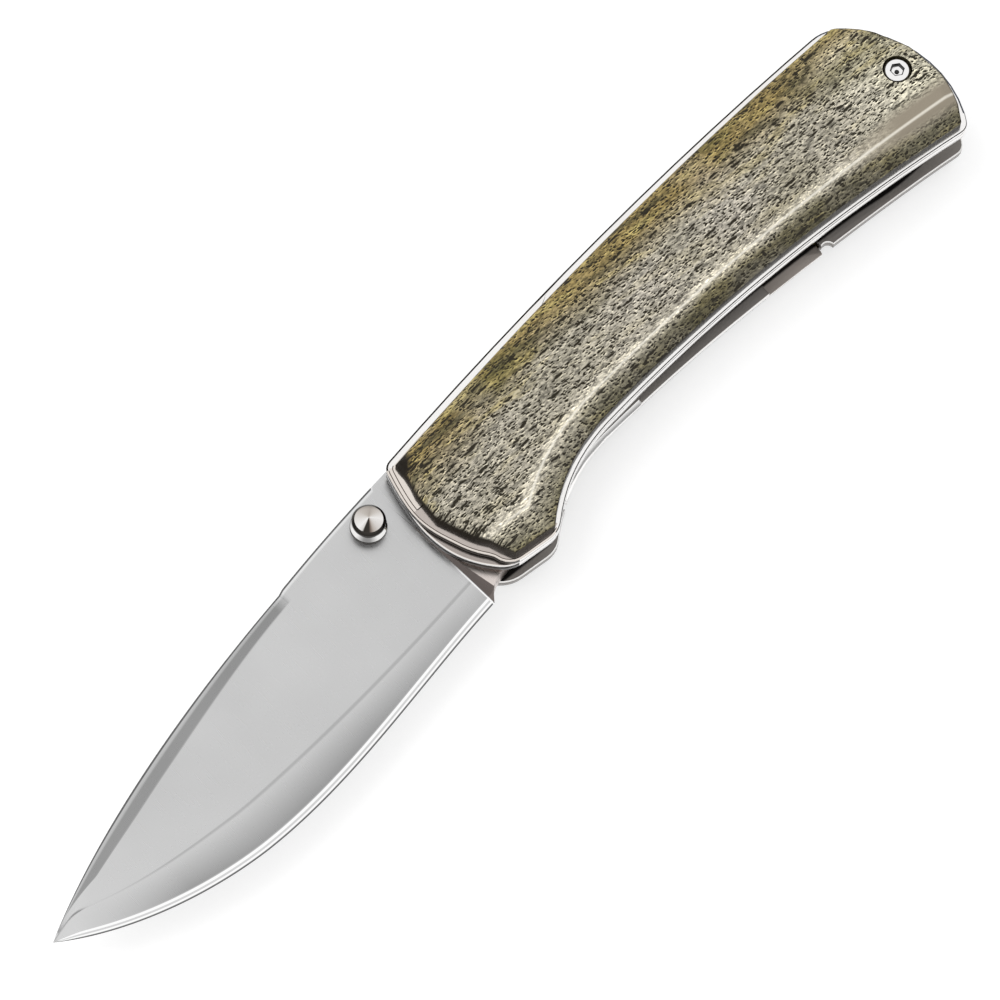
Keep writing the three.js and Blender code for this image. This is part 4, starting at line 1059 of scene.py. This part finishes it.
def bone_colour(tree, u, v, place, grain):
    """A painted highlight in cream along the ridge, painted shade down the slot-side bevel, grey on
    the flat, amber and olive towards the spine.
    """
    cloud = noise(tree, grain, 110, 4.0)["Fac"]
    patchy = noise(tree, place, 55, 3.0)["Fac"]
    across = maths(tree, "ADD", v, maths(tree, "MULTIPLY_ADD", patchy, 0.16, -0.08))
    slot_edge_shade, brown, ridge_highlight = (0.04, 0.04, 0.02), (0.20, 0.18, 0.11), (0.66, 0.61, 0.50)
    grey, amber = (0.38, 0.35, 0.28), (0.24, 0.18, 0.07)
    # Painted shade towards the slot edge and a painted highlight in cream at the ridge.
    front = ramp_of(tree, across, [
        (0.0, *brown), (0.2, *ridge_highlight), (0.27, *grey), (0.6, *grey), (0.9, *amber)])
    rear = ramp_of(tree, across, [
        (0.0, *slot_edge_shade), (0.13, *brown), (0.2, *ridge_highlight), (0.27, *grey), (0.6, *grey), (0.8, *amber)])
    base = mixed(tree, ranged(tree, u, 0, 1, 0.15, 0.5), front, rear)
    butt = times(tree, ranged(tree, u, 0, 0.75, 0.84, 0.93), ranged(tree, v, 1, 0.1, 0.68, 0.9))
    base = mixed(tree, butt, base, (0.68, 0.64, 0.50))
    # Painted shade down the slot-side bevel, deepest at its lower edge and towards the rear.
    lower = times(tree, ranged(tree, v, 1, 0, 0.10, 0.175), ranged(tree, u, 0.2, 0.9, 0.1, 0.5))
    base = mixed(tree, lower, base, (0.085, 0.075, 0.042))
    olive = times(tree, ranged(tree, cloud, 0, 0.85, 0.48, 0.62),
                  ranged(tree, v, 0.25, 1, 0.5, 0.8))
    base = mixed(tree, olive, base, (0.13, 0.11, 0.035))
    streak = noise(tree, mapped(tree, place, (0.17, 1, 1), -9), 430, 3.0)["Fac"]
    spine_side = ranged(tree, v, 0.22, 1, 0.5, 0.8)
    base = mixed(tree, times(tree, spine_side, ranged(tree, streak, 0, 0.75, 0.52, 0.64)), base,
                 (0.05, 0.047, 0.025))
    base = mixed(tree, times(tree, spine_side, ranged(tree, streak, 0.8, 0, 0.36, 0.47)), base,
                 (0.38, 0.31, 0.12))
    return mixed(tree, ranged(tree, patchy, 0, 0.35, 0.5, 0.75), base, (0.50, 0.46, 0.42))


def bone_material(name):
    material, tree, shader = surface(name)
    u, v, _ = own_map(tree, "patch")
    place = on_piece(tree)
    grain = mapped(tree, place, (0.4, 1, 1), -12)
    along = added(tree, "ShaderNodeMix", {
        "Factor": 0.0006, "A": grain, "B": noise(tree, place, 700, 2.0)["Color"]},
        data_type="VECTOR").outputs[1]
    base = bone_colour(tree, u, v, place, grain)

    rough = noise(tree, along, 2600, 2.0)["Fac"]
    worn = ranged(tree, rough, 0.42, 1.58, 0.36, 0.64)
    speckle_and_sheen = mixed(tree, 1.0, base, worn, "MULTIPLY")
    polished = ranged(tree, u, 0, 1, 0.78, 0.9)
    off_ridge = maths(tree, "ABSOLUTE", maths(tree, "SUBTRACT", v, 0.205))
    off_ridge = maths(tree, "DIVIDE", off_ridge, maths(tree, "MULTIPLY_ADD", polished, 1.3, 1.0))
    smooth_band = ranged(tree, off_ridge, 1, 0, 0.02, 0.05)
    rubbed = times(tree, polished, smooth_band)
    speckle_and_sheen = mixed(tree, rubbed, speckle_and_sheen, (0.30, 0.26, 0.20))
    open_pores = maths(tree, "SUBTRACT", 1.0, smooth_band)
    fine = pore_layer(tree, along, 2900, -0.02, 0.56)
    wide = mapped(tree, along, (0.45, 1, 1), shift=(0.013, 0.004, 0))
    cracks = pore_layer(tree, wide, 1500, -0.7, 0.42)
    splits = times(tree, ranged(tree, u, 1, 0, 0.10, 0.20),
                   pore_layer(tree, mapped(tree, along, (0.3, 1, 1)), 1900, -0.35, 0.42))
    deep = maths(tree, "MAXIMUM", splits, maths(tree, "MAXIMUM", fine, cracks))
    pits = times(tree, deep, maths(tree, "SUBTRACT",
                                   maths(tree, "MULTIPLY_ADD", open_pores, 0.75, 0.25),
                                   times(tree, rubbed, 0.25)))
    # Painted highlights: a lighter rim beside each fine pore, as if lit from one side.
    beside = pore_layer(tree, mapped(tree, along, shift=(0.00005, 0.00016, 0)), 2900, -0.02, 0.56)
    pit_highlight = times(tree, ranged(tree, maths(tree, "SUBTRACT", beside, pits), 0, 0.8),
                 maths(tree, "SUBTRACT", 1.0, rubbed))
    lifted = mixed(tree, 1.0, speckle_and_sheen, (1.75, 1.75, 1.7), "MULTIPLY")
    speckle_and_sheen = mixed(tree, pit_highlight, speckle_and_sheen, lifted)
    stains_and_sheen = mixed(tree, pits, speckle_and_sheen, (0.022, 0.018, 0.010))
    # A painted highlight: a thin bright line along the ridge.
    off_crest = maths(tree, "ABSOLUTE", maths(tree, "SUBTRACT", v, 0.192))
    crest = times(tree, ranged(tree, u, 0.2, 1, 0.01, 0.06),
                  ranged(tree, off_crest, 0.75, 0, 0.003, 0.012))
    stains_and_sheen = mixed(tree, crest, stains_and_sheen, (0.86, 0.82, 0.72))
    # Darker towards the front corner by the spine.
    nose_u = times(tree, u, 30.0)
    nose_v = maths(tree, "MULTIPLY_ADD", v, -5.5, 5.5)
    reach = maths(tree, "SQRT", maths(tree, "ADD", times(tree, nose_u, nose_u),
                                      times(tree, nose_v, nose_v)))
    front_corner_dark = ranged(tree, reach, 1, 0, 0.5, 0.85)
    # Painted shade along the scale's edges and on its walls, where it meets the steel.
    to_slot, to_spine = times(tree, v, 25.0), maths(tree, "MULTIPLY_ADD", v, -25.0, 25.0)
    to_front, to_butt = times(tree, u, 112.0), maths(tree, "MULTIPLY_ADD", u, -112.0, 112.0)
    rim = maths(tree, "MINIMUM", maths(tree, "MINIMUM", to_slot, to_spine),
                maths(tree, "MINIMUM", to_front, to_butt))
    edge = maths(tree, "MAXIMUM", own_map(tree, "wall")[0], ranged(tree, rim, 0.8, 0, 0.05, 0.3))
    edge_shaded = mixed(tree, edge, stains_and_sheen, (0.016, 0.012, 0.007))
    fed(tree, shader, {"Base Color": mixed(tree, front_corner_dark, edge_shaded, (0.012, 0.009, 0.005)),
                       "Specular IOR Level": 0.2,
                       "Roughness": ranged(tree, v, 0.34, 0.62, 0.17, 0.3)})
    bumped(tree, shader, maths(tree, "SUBTRACT", times(tree, rough, 0.8), pits), 0.8, 0.10)
    return material


BONE = bone_material("stabilised_bone")
bone_scale("near_scale", True, BONE)
bone_scale("far_scale", False, BONE)

# The stage: a white table top, a soft sky, one large soft lamp and the camera.

white, tree, shader = surface("white_table")
ray = added(tree, "ShaderNodeLightPath").outputs
seen = maths(tree, "MAXIMUM", ray["Is Camera Ray"], ray["Is Glossy Ray"])
fed(tree, shader, {"Base Color": (0.5, 0.5, 0.5, 1), "Roughness": 1, "Specular IOR Level": 0,
                   "Emission Color": (1, 1, 1, 1), "Emission Strength": times(tree, seen, 0.62)})
table = bpy.data.meshes.new("table_top")
table.from_pydata([(-4, -4, 0), (4, -4, 0), (4, 4, 0), (-4, 4, 0)], [], [(0, 1, 2, 3)])
table.materials.append(white)
floor = placed("table_top", table)
floor.location.z = -0.02 * MM

world = bpy.data.worlds.new("soft_sky")
bpy.context.scene.world = world
world.use_nodes = True
tree = world.node_tree
ray = added(tree, "ShaderNodeLightPath").outputs
direction = added(tree, "ShaderNodeTexCoord").outputs["Generated"]
band = ranged(tree, split(tree, direction)["Z"], 0.25, 1.0, 0.10, 0.55)
glossy = added(tree, "ShaderNodeMix", {"Factor": ray["Is Glossy Ray"], "A": 0.80, "B": band})
seen = added(tree, "ShaderNodeMix", {"Factor": ray["Is Camera Ray"],
                                     "A": glossy.outputs["Result"], "B": 1.0})
fed(tree, tree.nodes["Background"], {"Color": (1, 1, 1, 1), "Strength": seen.outputs["Result"]})

lamp = bpy.data.lights.new("soft_lamp", "AREA")
lamp.shape = "SQUARE"
lamp.size = 0.9
lamp.energy = 5.5
lamp_stand = placed("soft_lamp", lamp)
lamp_stand.location = (-0.35, 0.55, 0.9)
lamp_stand.rotation_euler = (-lamp_stand.location).to_track_quat("-Z", "Y").to_euler()
lamp_stand.visible_glossy = False

SIGHT = Matrix.Rotation(-0.419698, 3, "X") @ Matrix.Rotation(0.032941, 3, "Y") \
    @ Matrix.Rotation(-5.564527, 3, "Z")
EYE = -(SIGHT.transposed() @ Vector((65.993, 70.402, -1038.444))) + Vector((100.61, 11.82, 12.4))
camera = bpy.data.cameras.new("camera")
camera.sensor_width = 36
camera.lens = 224.412
camera.clip_start = 0.05
camera.clip_end = 20
tripod = placed("camera", camera)
tripod.matrix_world = Matrix.Translation(EYE * MM) @ SIGHT.transposed().to_4x4()
bpy.context.scene.camera = tripod
bpy.context.scene.view_settings.view_transform = "Standard"
